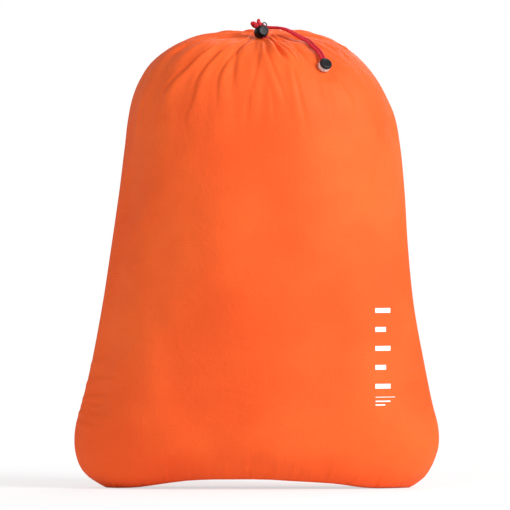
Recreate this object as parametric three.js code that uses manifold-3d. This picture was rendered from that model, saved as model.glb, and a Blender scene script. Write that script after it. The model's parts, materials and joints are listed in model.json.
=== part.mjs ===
// A drawcord stuff sack, stuffed full and cinched shut, standing on its base.
// Millimetres, +Z up, front facing -Y, +X to the right when looking at the front.
// Origin: on the ground under the middle of the base.
import * as THREE from 'three';
import { mergeVertices } from 'three/addons/utils/BufferGeometryUtils.js';
import Module from 'manifold-3d';

const wasm = await Module();
wasm.setup();

// ---------------------------------------------------------------- driving dimensions
const CLOTH = 1.2;            // wall thickness of the cloth shells
const SEAM_GAP = 0.25;        // each panel stops this far from the seam plane y = 0
const LIP_GAP = 0.25;         // half of the gap between a panel and the gather above it
const MOUTH_PLANE_Z = 398;    // the two fold planes meet the seam plane at this height
const MOUTH_FOLD_Y = 82.3;    // and meet the shoulder of the sack here
const MOUTH_FOLD_Z = 321.8;

const NECK = { x: 6, z: 387.6, radius: 13.5, tilt: 0.15 };   // ring of the drawcord channel
const CORD_R = 1.3;           // drawcord radius
const CORD_PITCH = 1.45;      // half the spacing of the two strands in the tail

// Cross sections, bottom to top: height, half width, half depth, centre x, tilt (dz/dy)
const SECTIONS = [
  [0.0, 131.0, 0.25, 0.5, 0], [0.0, 131.5, 12, 0.5, 0], [0.0, 132.0, 23, 0.5, 0],
  [0.0, 133.0, 32, 0.5, 0], [1.8, 137.0, 37.5, 0.6, 0], [5.3, 142.5, 42.5, 0.2, 0],
  [10, 148.5, 46, -0.4, 0], [17, 153.8, 49, -1.0, 0], [26, 157.8, 51.5, -0.9, 0],
  [38, 160.4, 54, -0.4, 0], [54, 159.6, 57.5, -0.2, 0], [77, 153.8, 61.5, 0, 0],
  [112, 146.0, 66.5, 0.7, 0], [160, 137.2, 72, 0.9, 0], [210, 130.8, 76.5, 2.2, 0],
  [258, 125.8, 80.5, 4.2, 0], [298, 121.4, 82.6, 4.8, 0], [324, 117.5, 82.2, 4, 0],
  [343, 111.6, 79.5, 2.2, 0], [359, 103.8, 74.5, 1, 0.005], [372, 94.4, 67.5, 0.2, 0.02],
  [382.5, 82.5, 58.5, 0.8, 0.04], [390.5, 69.5, 48, 1.8, 0.075], [395.2, 56.5, 38.5, 2.8, 0.13],
  [397.2, 44, 31, 4.2, 0.2], [396.2, 32, 25.5, 5.5, 0.22], [392.6, 19.2, 19.2, 6, 0.16],
];
const LAST_SECTION = SECTIONS.length - 1;
const FLAT_SECTIONS = 4;      // the first sections make the underside
const HALF_SEGMENTS = 18;     // steps round each half of the sack

// Underside between its two corner lobes: x, height above the ground
const BASE_LINE = [
  [-170, 0], [-100, 0], [-90, 2.4], [-78, 4.6], [-66, 7], [-40, 8], [8, 8],
  [29, 6.3], [50, 5.4], [71, 4.2], [83, 2.2], [95, 0], [170, 0],
];
const BASE_FADE = { from: 6, to: 60 };   // heights over which the base line dies out

// ---------------------------------------------------------------- geometry helpers
const vec = (x, y, z) => new THREE.Vector3(x, y, z);
const cross = (a, b) => vec().crossVectors(a, b);
const lerp = (a, b, t) => a + (b - a) * t;
const quad = (a, b, c, d) => [a, b, c, a, c, d];

function indexedGeometry(points, triangles) {
  const geometry = new THREE.BufferGeometry();
  const coordinates = points.flatMap(point => point.toArray());
  geometry.setAttribute('position', new THREE.Float32BufferAttribute(coordinates, 3));
  geometry.setIndex(triangles);
  return geometry;
}

// Placement matrix with the given z axis and x axis (at right angles to each other)
function frame(origin, xAxis, zAxis) {
  return new THREE.Matrix4().makeBasis(xAxis, cross(zAxis, xAxis), zAxis).setPosition(origin);
}

// Welded copy of a geometry as a manifold solid
function toSolid(geometry) {
  const bare = new THREE.BufferGeometry();
  bare.setAttribute('position', geometry.getAttribute('position'));
  bare.setIndex(geometry.index);
  const welded = mergeVertices(bare, 1e-4);
  return new wasm.Manifold(new wasm.Mesh({
    numProp: 3,
    vertProperties: new Float32Array(welded.attributes.position.array),
    triVerts: new Uint32Array(welded.index.array),
  }));
}

function toGeometry(solid) {
  const mesh = solid.getMesh();
  const geometry = new THREE.BufferGeometry();
  const positions = new Float32Array(mesh.vertProperties);
  geometry.setAttribute('position', new THREE.BufferAttribute(positions, 3));
  geometry.setIndex(new THREE.BufferAttribute(new Uint32Array(mesh.triVerts), 1));
  return geometry;
}

const polygon = (radius, sides) => Array.from({ length: sides }, (_, i) => {
  const angle = 2 * Math.PI * i / sides;
  return new THREE.Vector2(radius * Math.cos(angle), radius * Math.sin(angle));
});

// Round bar, or tube if it has a bore, along a smooth curve through the points
function sweep(points, { radius, steps, sides, bore = 0 }) {
  const shape = new THREE.Shape(polygon(radius, sides));
  if (bore) shape.holes.push(new THREE.Path(polygon(bore, sides).reverse()));
  const extrudePath = new THREE.CatmullRomCurve3(points, false, 'centripetal');
  return new THREE.ExtrudeGeometry(shape, { steps, extrudePath, bevelEnabled: false });
}
const cord = (points, steps) => sweep(points, { radius: CORD_R, steps, sides: 6 });

// Turned part about z from a profile of [radius, z]
function lathe(profile) {
  const points = profile.map(([radius, z]) => new THREE.Vector2(radius, z));
  return new THREE.LatheGeometry(points, 20).rotateX(Math.PI / 2);
}

// ---------------------------------------------------------------- the sack's surface
function baseHeight(x) {
  const i = BASE_LINE.findIndex(([end]) => x <= end);
  const [x0, z0] = BASE_LINE[i - 1];
  const [x1, z1] = BASE_LINE[i];
  return lerp(z0, z1, (x - x0) / (x1 - x0));
}

// Point at a (fractional) section number and an angle; angles from PI to 2 PI are the front
function surface(level, angle) {
  const i = Math.min(LAST_SECTION - 1, Math.floor(level));
  const [height, halfWidth, halfDepth, centreX, tilt] =
    SECTIONS[i].map((value, k) => lerp(value, SECTIONS[i + 1][k], level - i));
  const x = centreX + halfWidth * Math.cos(angle);
  const y = halfDepth * Math.sin(angle);
  const fade = 1 - THREE.MathUtils.smoothstep(height, BASE_FADE.from, BASE_FADE.to);
  return vec(x, y, height + tilt * y + baseHeight(x) * fade);
}

// Outward normal by finite differences
function normalAt(level, angle) {
  const angleStep = 1e-3;
  const levelStep = 0.25;
  const below = Math.max(0, level - levelStep);
  const above = Math.min(LAST_SECTION, level + levelStep);
  const around = surface(level, angle + angleStep).sub(surface(level, angle - angleStep));
  const upward = surface(above, angle).sub(surface(below, angle));
  const normal = around.cross(upward);
  return normal.lengthSq() < 1e-12 ? vec(0, 0, -1) : normal.normalize();
}

// Point lifted off the upper front surface, which is searched on a grid for the given x and z
function onDome(x, z, lift) {
  let nearest = null;
  let leastDistance = Infinity;
  for (let level = 14; level <= 25; level += 0.02) {
    for (let i = 0; i <= 160; i++) {
      const angle = Math.PI + Math.PI * i / 160;
      const point = surface(level, angle);
      const distance = (point.x - x) ** 2 + (point.z - z) ** 2;
      if (distance < leastDistance) {
        leastDistance = distance;
        nearest = { point, level, angle };
      }
    }
  }
  const normal = normalAt(nearest.level, nearest.angle);
  return { point: nearest.point.addScaledVector(normal, lift), normal };
}

// ---------------------------------------------------------------- cloth
// One half of the sack as a closed thin shell, side -1 = front, +1 = back
function halfShell(side) {
  const outer = [];
  const inner = [];
  for (let j = 0; j <= LAST_SECTION; j++) {
    for (let i = 0; i <= HALF_SEGMENTS; i++) {
      const angle = (side < 0 ? Math.PI : 0) + Math.PI * i / HALF_SEGMENTS;
      const atSeam = i === 0 || i === HALF_SEGMENTS;
      const outside = surface(j, angle);
      const inside = outside.clone();
      if (j < FLAT_SECTIONS) {
        inside.z += CLOTH;
        if (atSeam) inside.x -= Math.sign(outside.x) * CLOTH;
      } else {
        inside.addScaledVector(normalAt(j, angle), -CLOTH);
      }
      for (const point of [outside, inside]) {
        if (atSeam || side * point.y < SEAM_GAP) point.y = side * SEAM_GAP;
      }
      outer.push(outside);
      inner.push(inside);
    }
  }

  const count = outer.length;   // an inner point's index is its outer point's plus this
  const at = (i, j) => j * (HALF_SEGMENTS + 1) + i;
  const triangles = [];
  for (let j = 0; j < LAST_SECTION; j++) {
    for (let i = 0; i < HALF_SEGMENTS; i++) {
      const [a, b, c, d] = [at(i, j), at(i + 1, j), at(i + 1, j + 1), at(i, j + 1)];
      triangles.push(...quad(a, b, c, d));
      triangles.push(...quad(count + a, count + d, count + c, count + b));
    }
  }
  // closes the wall between the two skins along one edge
  const closeEdge = (a, b) => triangles.push(...quad(a, b, count + b, count + a));
  for (let i = 0; i < HALF_SEGMENTS; i++) {
    closeEdge(at(i + 1, 0), at(i, 0));
    closeEdge(at(i, LAST_SECTION), at(i + 1, LAST_SECTION));
  }
  for (let j = 0; j < LAST_SECTION; j++) {
    closeEdge(at(0, j), at(0, j + 1));
    closeEdge(at(HALF_SEGMENTS, j + 1), at(HALF_SEGMENTS, j));
  }
  return indexedGeometry(outer.concat(inner), triangles);
}

// Everything above the fold plane of one side, raised by a gap, as a big block
function aboveFold(side, gap) {
  const across = vec(side, 0, 0);
  const downSlope = vec(0, side * MOUTH_FOLD_Y, MOUTH_FOLD_Z - MOUTH_PLANE_Z).normalize();
  const block = new THREE.BoxGeometry(400, 400, 200).translate(0, 0, 100 + gap);
  const placement = frame(vec(0, 0, MOUTH_PLANE_Z), across, cross(across, downSlope));
  return toSolid(block.applyMatrix4(placement));
}

// ---------------------------------------------------------------- seam allowances and label
// The tapes stand inside the shell in the seam plane
const TAPE = { thickness: 0.36, width: 7, sideClear: 2.2, baseClear: 0.9 };
const SIDE_TAPE = { from: 8.2, to: 21.4, segments: 30 };   // section numbers
const BASE_TAPE = { halfLength: 122, segments: 32 };
const LABEL = { width: 26, thickness: 0.5, height: 38, level: 10.6, clear: 8 };

// Tape from rows of [outer edge, inner edge] points; flipped turns its faces over
function tape(rows, flipped = false) {
  const y = TAPE.thickness / 2;
  const points = rows.flatMap(([outer, inner]) => [
    vec(outer.x, -y, outer.z), vec(outer.x, y, outer.z),
    vec(inner.x, y, inner.z), vec(inner.x, -y, inner.z),
  ]);
  const triangles = [];
  const addFace = corners => triangles.push(...quad(...(flipped ? corners.reverse() : corners)));
  const last = points.length - 4;
  for (let start = 0; start < last; start += 4) {
    for (let edge = 0; edge < 4; edge++) {
      const a = start + edge;
      const b = start + (edge + 1) % 4;
      addFace([a, b, b + 4, a + 4]);
    }
  }
  addFace([3, 2, 1, 0]);
  addFace([last, last + 1, last + 2, last + 3]);
  return indexedGeometry(points, triangles);
}

// side -1 = left, +1 = right
function sideTape(side) {
  const angle = side > 0 ? 0 : Math.PI;
  const rows = [];
  for (let k = 0; k <= SIDE_TAPE.segments; k++) {
    const level = lerp(SIDE_TAPE.from, SIDE_TAPE.to, k / SIDE_TAPE.segments);
    const point = surface(level, angle);
    const along = surface(level + 0.05, angle).sub(point).setY(0).normalize();
    const inward = vec(-along.z, 0, along.x).multiplyScalar(side);
    rows.push([TAPE.sideClear, TAPE.sideClear + TAPE.width]
      .map(distance => point.clone().addScaledVector(inward, distance)));
  }
  return tape(rows, side < 0);
}

function baseTape() {
  const rows = [];
  for (let k = 0; k <= BASE_TAPE.segments; k++) {
    const x = lerp(-BASE_TAPE.halfLength, BASE_TAPE.halfLength, k / BASE_TAPE.segments);
    const z = baseHeight(x) + CLOTH + TAPE.baseClear;
    rows.push([vec(x, 0, z), vec(x, 0, z + TAPE.width)]);
  }
  return tape(rows);
}

// Care label, a flat tab inside the sack beside the left side tape
function careLabel() {
  const edge = surface(LABEL.level, Math.PI);
  const x = edge.x + TAPE.sideClear + TAPE.width + LABEL.clear + LABEL.width / 2;
  return new THREE.BoxGeometry(LABEL.width, LABEL.thickness, LABEL.height).translate(x, 0, edge.z);
}

// ---------------------------------------------------------------- drawcord channel
const HEM = { radius: 4.2, bore: 1.75, endAngle: 3.4 };   // endAngle: degrees from seam plane
const SLOT = { width: 8.4, depth: 6.4, height: 9, forward: 0.4, below: 1.5 };

// Point on the tilted neck ring; 0 degrees is the right side, 270 the front
function neckPoint(degrees) {
  const angle = degrees * Math.PI / 180;
  const y = NECK.radius * Math.sin(angle);
  return vec(NECK.x + NECK.radius * Math.cos(angle), y, NECK.z + NECK.tilt * y);
}
const neckArc = (from, to, count) =>
  Array.from({ length: count + 1 }, (_, i) => neckPoint(lerp(from, to, i / count)));

// Half of the channel, bunched into a ring at the neck, starting from 0 or 180 degrees
function hem(start) {
  const points = neckArc(start + HEM.endAngle, start + 180 - HEM.endAngle, 14);
  return toSolid(sweep(points, { radius: HEM.radius, steps: 16, sides: 10, bore: HEM.bore }));
}

// The front half is cut open where the cords come out
function frontHem() {
  const front = neckPoint(270);
  const slot = new THREE.BoxGeometry(SLOT.width, SLOT.depth, SLOT.height)
    .translate(NECK.x, front.y - SLOT.forward, front.z - SLOT.below + SLOT.height / 2);
  return hem(180).subtract(toSolid(slot));
}

// ---------------------------------------------------------------- cord lock
const LOCK_CENTRE = vec(4, -27.5, 400);                      // where the cords cross the lock
const LOCK_AXIS = vec(0.36, -0.915, 0.18).normalize();       // barrel axis, towards the button
const LOCK_UP = vec(-0.446, 0, 0.893).projectOnPlane(LOCK_AXIS).normalize();  // along the cords
const LOCK_SIDE = cross(LOCK_AXIS, LOCK_UP);                 // from right strand to left strand
const LOCK_FRAME = frame(LOCK_CENTRE, LOCK_SIDE, LOCK_AXIS);
const inLock = (axial, up, sideways) => LOCK_CENTRE.clone()
  .addScaledVector(LOCK_AXIS, axial)
  .addScaledVector(LOCK_UP, up)
  .addScaledVector(LOCK_SIDE, sideways);

// Heights along the axis are measured from the cord crossing
const BARREL = { radius: 5.6, back: -6.3, rim: 2.2, cavityRadius: 4.35, floor: -5.2 };
const PLUNGER = { radius: 4.1, foot: -2.6, neck: 4.3, top: 5.7, buttonRadius: 4.7 };
const HOLE = { width: 5.7, height: 3.0, length: 30 };        // cord hole, cut right through
const CORD_CLEAR = 0.12;
const PLUNGER_TRAVEL = 1.7;
const SPRING = { radius: 3.1, wire: 0.26, turns: 2.5, clear: 0.12, steps: 40 };
const EYE = { radius: 2.0, wire: 0.5, clear: 1.5, back: 0.6, up: 0.6, sideways: -0.8 };

const lockSolid = geometry => toSolid(geometry.applyMatrix4(LOCK_FRAME));

// Blind barrel with a small ring beside it
function lockBarrel() {
  const { radius, back, rim, cavityRadius, floor } = BARREL;
  const shell = lathe([
    [0, back], [radius - 1.6, back], [radius - 0.4, back + 0.9], [radius, back + 2.2],
    [radius, rim - 0.9], [radius - 0.7, rim], [cavityRadius, rim], [cavityRadius, floor],
    [0, floor],
  ]);
  const eyeDirection = LOCK_UP.clone().multiplyScalar(EYE.up)
    .addScaledVector(LOCK_SIDE, EYE.sideways).normalize();
  const eyeCentre = LOCK_CENTRE.clone()
    .addScaledVector(eyeDirection, radius + EYE.clear)
    .addScaledVector(LOCK_AXIS, -EYE.back);
  const eye = new THREE.TorusGeometry(EYE.radius, EYE.wire, 6, 16)
    .applyMatrix4(frame(eyeCentre, LOCK_SIDE, LOCK_AXIS));
  // keeps the eye out of the barrel's cavity
  const cavity = new THREE.CylinderGeometry(cavityRadius, cavityRadius, 6, 20)
    .rotateX(Math.PI / 2);
  const hole = new THREE.BoxGeometry(HOLE.width, HOLE.length, HOLE.height);
  return lockSolid(shell)
    .add(toSolid(eye).subtract(lockSolid(cavity)))
    .subtract(lockSolid(hole));
}

// Plunger with its button; its window leaves the cords room over the travel
function lockPlunger() {
  const { radius, foot, neck, top, buttonRadius } = PLUNGER;
  const stem = lathe([
    [0, foot], [radius - 0.4, foot], [radius, foot + 0.4], [radius, neck],
    [buttonRadius, neck + 0.2], [buttonRadius, top - 0.7], [buttonRadius - 0.8, top], [0, top],
  ]);
  const windowHeight = 2 * (CORD_R + CORD_CLEAR) + PLUNGER_TRAVEL;
  const opening = new THREE.BoxGeometry(HOLE.width, HOLE.length, windowHeight)
    .translate(0, 0, PLUNGER_TRAVEL / 2);
  return lockSolid(stem).subtract(lockSolid(opening));
}

// Coil spring between the cavity floor and the plunger's foot
function lockSpring() {
  const bottom = BARREL.floor + SPRING.wire + SPRING.clear;
  const top = PLUNGER.foot - SPRING.wire - SPRING.clear;
  const coil = [];
  for (let i = 0; i <= SPRING.steps; i++) {
    const t = i / SPRING.steps;
    const angle = 2 * Math.PI * SPRING.turns * t;
    const x = SPRING.radius * Math.cos(angle);
    const y = SPRING.radius * Math.sin(angle);
    coil.push(vec(x, y, lerp(bottom, top, t)));
  }
  return sweep(coil, { radius: SPRING.wire, steps: SPRING.steps, sides: 5 })
    .applyMatrix4(LOCK_FRAME);
}

// ---------------------------------------------------------------- cord end
const END = { radius: 5.5, baseHeight: 4.4, capHeight: 2.8, capGap: 0.25, wall: 1, floor: 0.7 };
const PORT = { length: 5, width: 6.4, cordHeight: 3 };       // opening where the cords enter
const KNOT = { radius: 1.7, back: 0.4, lift: 1.85 };
const TAIL_LAST_ON_DOME = onDome(52.6, 380.8, 2.1).point;

// The cord end sits on the sack's surface, its port turned up towards the tail
const { point: END_ORIGIN, normal: END_NORMAL } = onDome(57.6, 367.6, 0.5);
const END_TO_TAIL = TAIL_LAST_ON_DOME.clone().sub(END_ORIGIN)
  .projectOnPlane(END_NORMAL).normalize();
const END_ACROSS = cross(END_TO_TAIL, END_NORMAL).normalize();
const END_FRAME = frame(END_ORIGIN, END_TO_TAIL, END_NORMAL);
const inEnd = (toTail, height) => END_ORIGIN.clone()
  .addScaledVector(END_TO_TAIL, toTail)
  .addScaledVector(END_NORMAL, height);

// Clear cup with a port in its wall
function endBase() {
  const { radius, baseHeight: height, wall, floor } = END;
  const cup = lathe([
    [0, 0], [radius - 0.6, 0], [radius, 0.6], [radius, height], [radius - wall, height],
    [radius - wall, floor], [0, floor],
  ]);
  const port = new THREE.BoxGeometry(PORT.length, PORT.width, height)
    .translate(radius, 0, floor + height / 2);
  return toSolid(cup.applyMatrix4(END_FRAME)).subtract(toSolid(port.applyMatrix4(END_FRAME)));
}

function endCap() {
  const bottom = END.baseHeight + END.capGap;
  const top = bottom + END.capHeight;
  const { radius } = END;
  return lathe([[0, bottom], [radius, bottom], [radius, top - 0.9], [radius - 0.9, top], [0, top]])
    .applyMatrix4(END_FRAME);
}

function endKnot() {
  return new THREE.SphereGeometry(KNOT.radius, 12, 8)
    .scale(1, 1.3, 0.9)
    .translate(-KNOT.back, 0, END.floor + KNOT.lift)
    .applyMatrix4(END_FRAME);
}

// ---------------------------------------------------------------- drawcord
// Tail centreline over the right shoulder: [point, direction that separates the two strands]
const TAIL = [
  [vec(8, -15.2, 404.3), vec(0, 1, 0)],
  [vec(13, -15.4, 404.0), vec(0, 1, 0)],
  [vec(18.4, -17.4, 403.7), vec(0.1, 1, 0)],
  [vec(24, -21.0, 402.6), vec(0.25, 0.95, 0.05)],
  [vec(29, -24.8, 400.3), vec(0.42, 0.88, 0.1)],
  [vec(34.2, -27.6, 397.2), vec(0.56, 0.78, 0.15)],
  [vec(39.9, -31.4, 394.0), vec(0.66, 0.68, 0.2)],
  [onDome(45, 388.6, 2.4).point, vec(0.72, 0.6, 0.24)],
  [onDome(49, 385.0, 2.1).point, vec(0.76, 0.56, 0.26)],
  [TAIL_LAST_ON_DOME, vec(0.8, 0.52, 0.28)],
  [inEnd(END.radius + 2.2, PORT.cordHeight), END_ACROSS.clone()],
  [inEnd(END.radius - 0.3, PORT.cordHeight), END_ACROSS.clone()],
].map(([point, spread], i, rows) => {
  const next = rows[Math.min(i + 1, rows.length - 1)][0];
  const previous = rows[Math.max(i - 1, 0)][0];
  const along = next.clone().sub(previous).normalize();
  return { point, along, spread: spread.projectOnPlane(along).normalize() };
});
const FIRST_BEND = 4;         // tail points where one piece of cord ends and the next starts
const SECOND_BEND = 8;
const TAIL_END = TAIL.length - 1;
const CORD_GAP = 0.3;         // each piece stops this far short of a bend or of the tail's end

// In all strands, side -1 = left, +1 = right
const strandPoint = (i, side) =>
  TAIL[i].point.clone().addScaledVector(TAIL[i].spread, side * CORD_PITCH);

const NECK_ANGLES = [183, 200, 218, 236, 252];   // left strand; the right one mirrors them
const STRAND_OFFSET = 1.4;                       // each strand from the middle of the lock

// Turn of each strand from the top of the lock back to the tail
const LEFT_LOOP = [
  inLock(-0.5, 9.9, 2.8), inLock(-2.6, 10.4, 3.6), inLock(-4.8, 8.4, 2.6),
  vec(-1.6, -19.4, 404.5), vec(2.6, -17.2, 404.1),
];
const RIGHT_LOOP = [
  inLock(-0.5, 9.9, -2.6), inLock(-2.4, 10.2, -3.2), inLock(-4.4, 8.6, -3.0),
  vec(2.4, -18.2, 407.8), vec(4.8, -14.9, 406.4),
];

// Round the neck, out of the slot, up through the lock and back to the first bend
function strand(side) {
  return cord([
    ...NECK_ANGLES.map(degrees => neckPoint(side < 0 ? degrees : 540 - degrees)),
    vec(NECK.x + side * 1.6, -13.9, 387.9),
    vec(NECK.x + side * 1.65 + 0.3, -15.6, 390.9),
    inLock(2.6, -8.6, -side * 1.85).add(vec(0.2, 5.2, 0.25)),
    inLock(0.2, -7.6, -side * 1.62),
    ...[-5, 0, 5, 7.6].map(up => inLock(0, up, -side * STRAND_OFFSET)),
    ...(side < 0 ? LEFT_LOOP : RIGHT_LOOP),
    ...[0, 1, 2, 3].map(i => strandPoint(i, side)),
    strandPoint(FIRST_BEND, side).addScaledVector(TAIL[FIRST_BEND].along, -CORD_GAP),
  ], 64);
}

function tailPiece(first, last, side) {
  const points = [];
  for (let i = first; i <= last; i++) points.push(strandPoint(i, side));
  const [start, second] = points;
  const [beforeEnd, end] = points.slice(-2);
  const startInward = second.clone().sub(start).normalize();
  const endInward = beforeEnd.clone().sub(end).normalize();
  start.addScaledVector(startInward, CORD_GAP);
  end.addScaledVector(endInward, CORD_GAP);
  return cord(points, 12);
}

// ---------------------------------------------------------------- materials
const CORD_RED = 0xc8202e;
const BLACK = 0x141416;
const MATERIALS = {
  cloth: { color: 0xee5a24, roughness: 0.55 },
  gather: { color: 0xf0622a, roughness: 0.55 },
  hem: { color: 0xf2682c, roughness: 0.6 },
  seam: { color: 0xd8501c, roughness: 0.7 },
  label: { color: 0xf2f2f0, roughness: 0.8 },
  cord: { color: CORD_RED, roughness: 0.75 },
  knot: { color: CORD_RED, roughness: 0.8 },
  lock: { color: BLACK, roughness: 0.35 },
  spring: { color: 0xb8babd, roughness: 0.3, metalness: 1 },
  cup: { color: 0xd9d5d2, roughness: 0.3, transparent: true, opacity: 0.8 },
  cap: { color: BLACK, roughness: 0.4 },
};

// ---------------------------------------------------------------- assembly
const sackGroup = new THREE.Group();
function add(name, geometry, material) {
  if (!geometry.attributes.normal) geometry.computeVertexNormals();
  const mesh = new THREE.Mesh(geometry, new THREE.MeshStandardMaterial(material));
  mesh.name = name;
  sackGroup.add(mesh);
}
const addSolid = (name, solid, material) => add(name, toGeometry(solid), material);

const front = toSolid(halfShell(-1));
const back = toSolid(halfShell(1));
addSolid('front_panel', front.subtract(aboveFold(-1, -LIP_GAP)), MATERIALS.cloth);
addSolid('back_panel', back.subtract(aboveFold(1, -LIP_GAP)), MATERIALS.cloth);
addSolid('front_gather', front.intersect(aboveFold(-1, LIP_GAP)), MATERIALS.gather);
addSolid('back_gather', back.intersect(aboveFold(1, LIP_GAP)), MATERIALS.gather);

add('left_side_seam', sideTape(-1), MATERIALS.seam);
add('right_side_seam', sideTape(1), MATERIALS.seam);
add('bottom_seam', baseTape(), MATERIALS.seam);
add('care_label', careLabel(), MATERIALS.label);
addSolid('front_hem', frontHem(), MATERIALS.hem);
addSolid('back_hem', hem(0), MATERIALS.hem);

add('drawcord_back', cord(neckArc(4, 176, 12), 16), MATERIALS.cord);
add('cord_strand_left', strand(-1), MATERIALS.cord);
add('cord_strand_right', strand(1), MATERIALS.cord);
add('tail_upper_left', tailPiece(FIRST_BEND, SECOND_BEND, -1), MATERIALS.cord);
add('tail_upper_right', tailPiece(FIRST_BEND, SECOND_BEND, 1), MATERIALS.cord);
add('tail_lower_left', tailPiece(SECOND_BEND, TAIL_END, -1), MATERIALS.cord);
add('tail_lower_right', tailPiece(SECOND_BEND, TAIL_END, 1), MATERIALS.cord);

addSolid('cord_lock_barrel', lockBarrel(), MATERIALS.lock);
addSolid('cord_lock_plunger', lockPlunger(), MATERIALS.lock);
add('cord_lock_spring', lockSpring(), MATERIALS.spring);
addSolid('cord_end_base', endBase(), MATERIALS.cup);
add('cord_end_cap', endCap(), MATERIALS.cap);
add('cord_knot', endKnot(), MATERIALS.knot);

// ---------------------------------------------------------------- joints
// Places and directions where the parts can move, as plain arrays
const arrays = vectors =>
  Object.fromEntries(Object.entries(vectors).map(([key, vector]) => [key, vector.toArray()]));

// Bend in the tail, its position on the surface of the cord
function bendJoint({ point, along, spread }) {
  const outward = cross(along, spread).normalize();
  const pos = point.clone().addScaledVector(outward, CORD_R);
  return arrays({ pos, e: spread, t: along, p: point });
}

sackGroup.userData.joints = {
  tail: TAIL.map(({ point, spread }) => [point.toArray(), spread.toArray()]),
  tail_lift: bendJoint(TAIL[FIRST_BEND]),
  tail_bend: bendJoint(TAIL[SECOND_BEND]),
  cord_end: arrays({
    pos: inEnd(END.radius, PORT.cordHeight + CORD_R),
    e: END_ACROSS, n: END_NORMAL, u: END_TO_TAIL, o: END_ORIGIN,
  }),
  lock: arrays({ w: LOCK_AXIS, h: LOCK_UP, s: LOCK_SIDE, c: LOCK_CENTRE }),
};

export default sackGroup;
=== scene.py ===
# A drawcord stuff sack, stuffed full and cinched shut. It stands on the ground with its mouth up
# and its front facing -Y; the cord lock and the tail with its cord end lie on the upper front.
# The shapes are worked out in millimetres, +Z up, and scaled by MM to metres as meshes are made.
import json
import math
import bmesh
import bpy
import numpy as np
from mathutils import Vector, Matrix

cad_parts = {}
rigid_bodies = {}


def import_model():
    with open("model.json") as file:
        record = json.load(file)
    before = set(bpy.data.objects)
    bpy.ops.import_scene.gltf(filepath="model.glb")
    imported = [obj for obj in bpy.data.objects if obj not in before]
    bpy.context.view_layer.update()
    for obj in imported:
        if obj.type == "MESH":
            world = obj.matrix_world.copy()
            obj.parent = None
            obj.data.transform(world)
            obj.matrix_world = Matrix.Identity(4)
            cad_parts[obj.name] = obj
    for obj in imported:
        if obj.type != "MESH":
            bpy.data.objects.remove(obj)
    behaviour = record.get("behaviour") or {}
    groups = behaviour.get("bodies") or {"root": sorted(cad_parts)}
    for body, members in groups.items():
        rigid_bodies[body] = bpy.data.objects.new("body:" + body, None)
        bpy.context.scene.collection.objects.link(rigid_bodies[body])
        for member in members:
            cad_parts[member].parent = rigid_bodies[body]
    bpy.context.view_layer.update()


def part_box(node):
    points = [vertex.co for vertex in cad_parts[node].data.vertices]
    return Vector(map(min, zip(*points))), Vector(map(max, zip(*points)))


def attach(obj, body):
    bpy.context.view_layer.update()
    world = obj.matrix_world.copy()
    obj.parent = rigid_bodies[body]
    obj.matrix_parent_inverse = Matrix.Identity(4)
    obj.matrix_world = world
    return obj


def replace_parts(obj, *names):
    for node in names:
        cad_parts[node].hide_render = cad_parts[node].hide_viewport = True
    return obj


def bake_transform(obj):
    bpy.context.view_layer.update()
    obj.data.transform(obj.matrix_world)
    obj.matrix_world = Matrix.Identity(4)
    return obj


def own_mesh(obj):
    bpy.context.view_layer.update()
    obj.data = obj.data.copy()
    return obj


for old_object in list(bpy.data.objects):
    bpy.data.objects.remove(old_object, do_unlink=True)
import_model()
MM = 0.001
TAU = 2 * math.pi
PHASE_SPAN = 6.28            # random phases are drawn from 0 to this


# ------------------------------------------------------------------ numeric helpers
def smooth(low, high, x):
    t = np.clip((np.asarray(x, float) - low) / (high - low), 0, 1)
    return t * t * (3 - 2 * t)


def bell(x, width, power=2):
    return np.exp(-(x / width) ** power)


def unit(v):
    v = np.asarray(v, float)
    return v / np.maximum(np.linalg.norm(v, axis=-1, keepdims=True), 1e-12)


def steps(points):
    return np.linalg.norm(np.diff(points, axis=0), axis=1)


def running(values):
    return np.concatenate([[0], np.cumsum(values)])


def arc_length(points):
    return running(steps(points))


def catmull(a, b, c, d, t):
    """Catmull-Rom between b and c."""
    return 0.5 * (2 * b + (c - a) * t + (2 * a - 5 * b + 4 * c - d) * t ** 2
                  + (3 * b - a - 3 * c + d) * t ** 3)


def polyline(points, step=1.5):
    """Catmull-Rom through points, sampled about every step."""
    p = np.asarray(points, float)
    run = arc_length(p)
    count = max(6, int(run[-1] / step))
    u = np.interp(np.linspace(0, run[-1], count), run, np.arange(len(p)))
    i = np.minimum(np.floor(u).astype(int), len(p) - 2)
    last = len(p) - 1
    return catmull(p[np.maximum(i - 1, 0)], p[i], p[i + 1], p[np.minimum(i + 2, last)],
                   (u - i)[:, None])


def centripetal(points, step):
    """Centripetal Catmull-Rom through points, evenly spaced."""
    p = np.asarray(points, float)
    p = np.concatenate([[2 * p[0] - p[1]], p, [2 * p[-1] - p[-2]]])
    out = []
    t = np.linspace(0, 1, 24, endpoint=False)[:, None]
    for i in range(1, len(p) - 2):
        p0, p1, p2, p3 = p[i - 1:i + 3]
        k0, k1, k2 = [max(np.linalg.norm(b - a) ** 0.5, 1e-4)
                      for a, b in ((p0, p1), (p1, p2), (p2, p3))]
        slope1 = ((p1 - p0) / k0 - (p2 - p0) / (k0 + k1) + (p2 - p1) / k1) * k1
        slope2 = ((p2 - p1) / k1 - (p3 - p1) / (k1 + k2) + (p3 - p2) / k2) * k1
        out.append((2 * t ** 3 - 3 * t ** 2 + 1) * p1 + (t ** 3 - 2 * t ** 2 + t) * slope1
                   + (-2 * t ** 3 + 3 * t ** 2) * p2 + (t ** 3 - t ** 2) * slope2)
    out.append(p[-2:-1])
    dense = np.concatenate(out)
    run = arc_length(dense)
    count = max(4, int(round(run[-1] / step)) + 1)
    at = np.linspace(0, run[-1], count)
    return np.stack([np.interp(at, run, dense[:, k]) for k in range(3)], -1)


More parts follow.
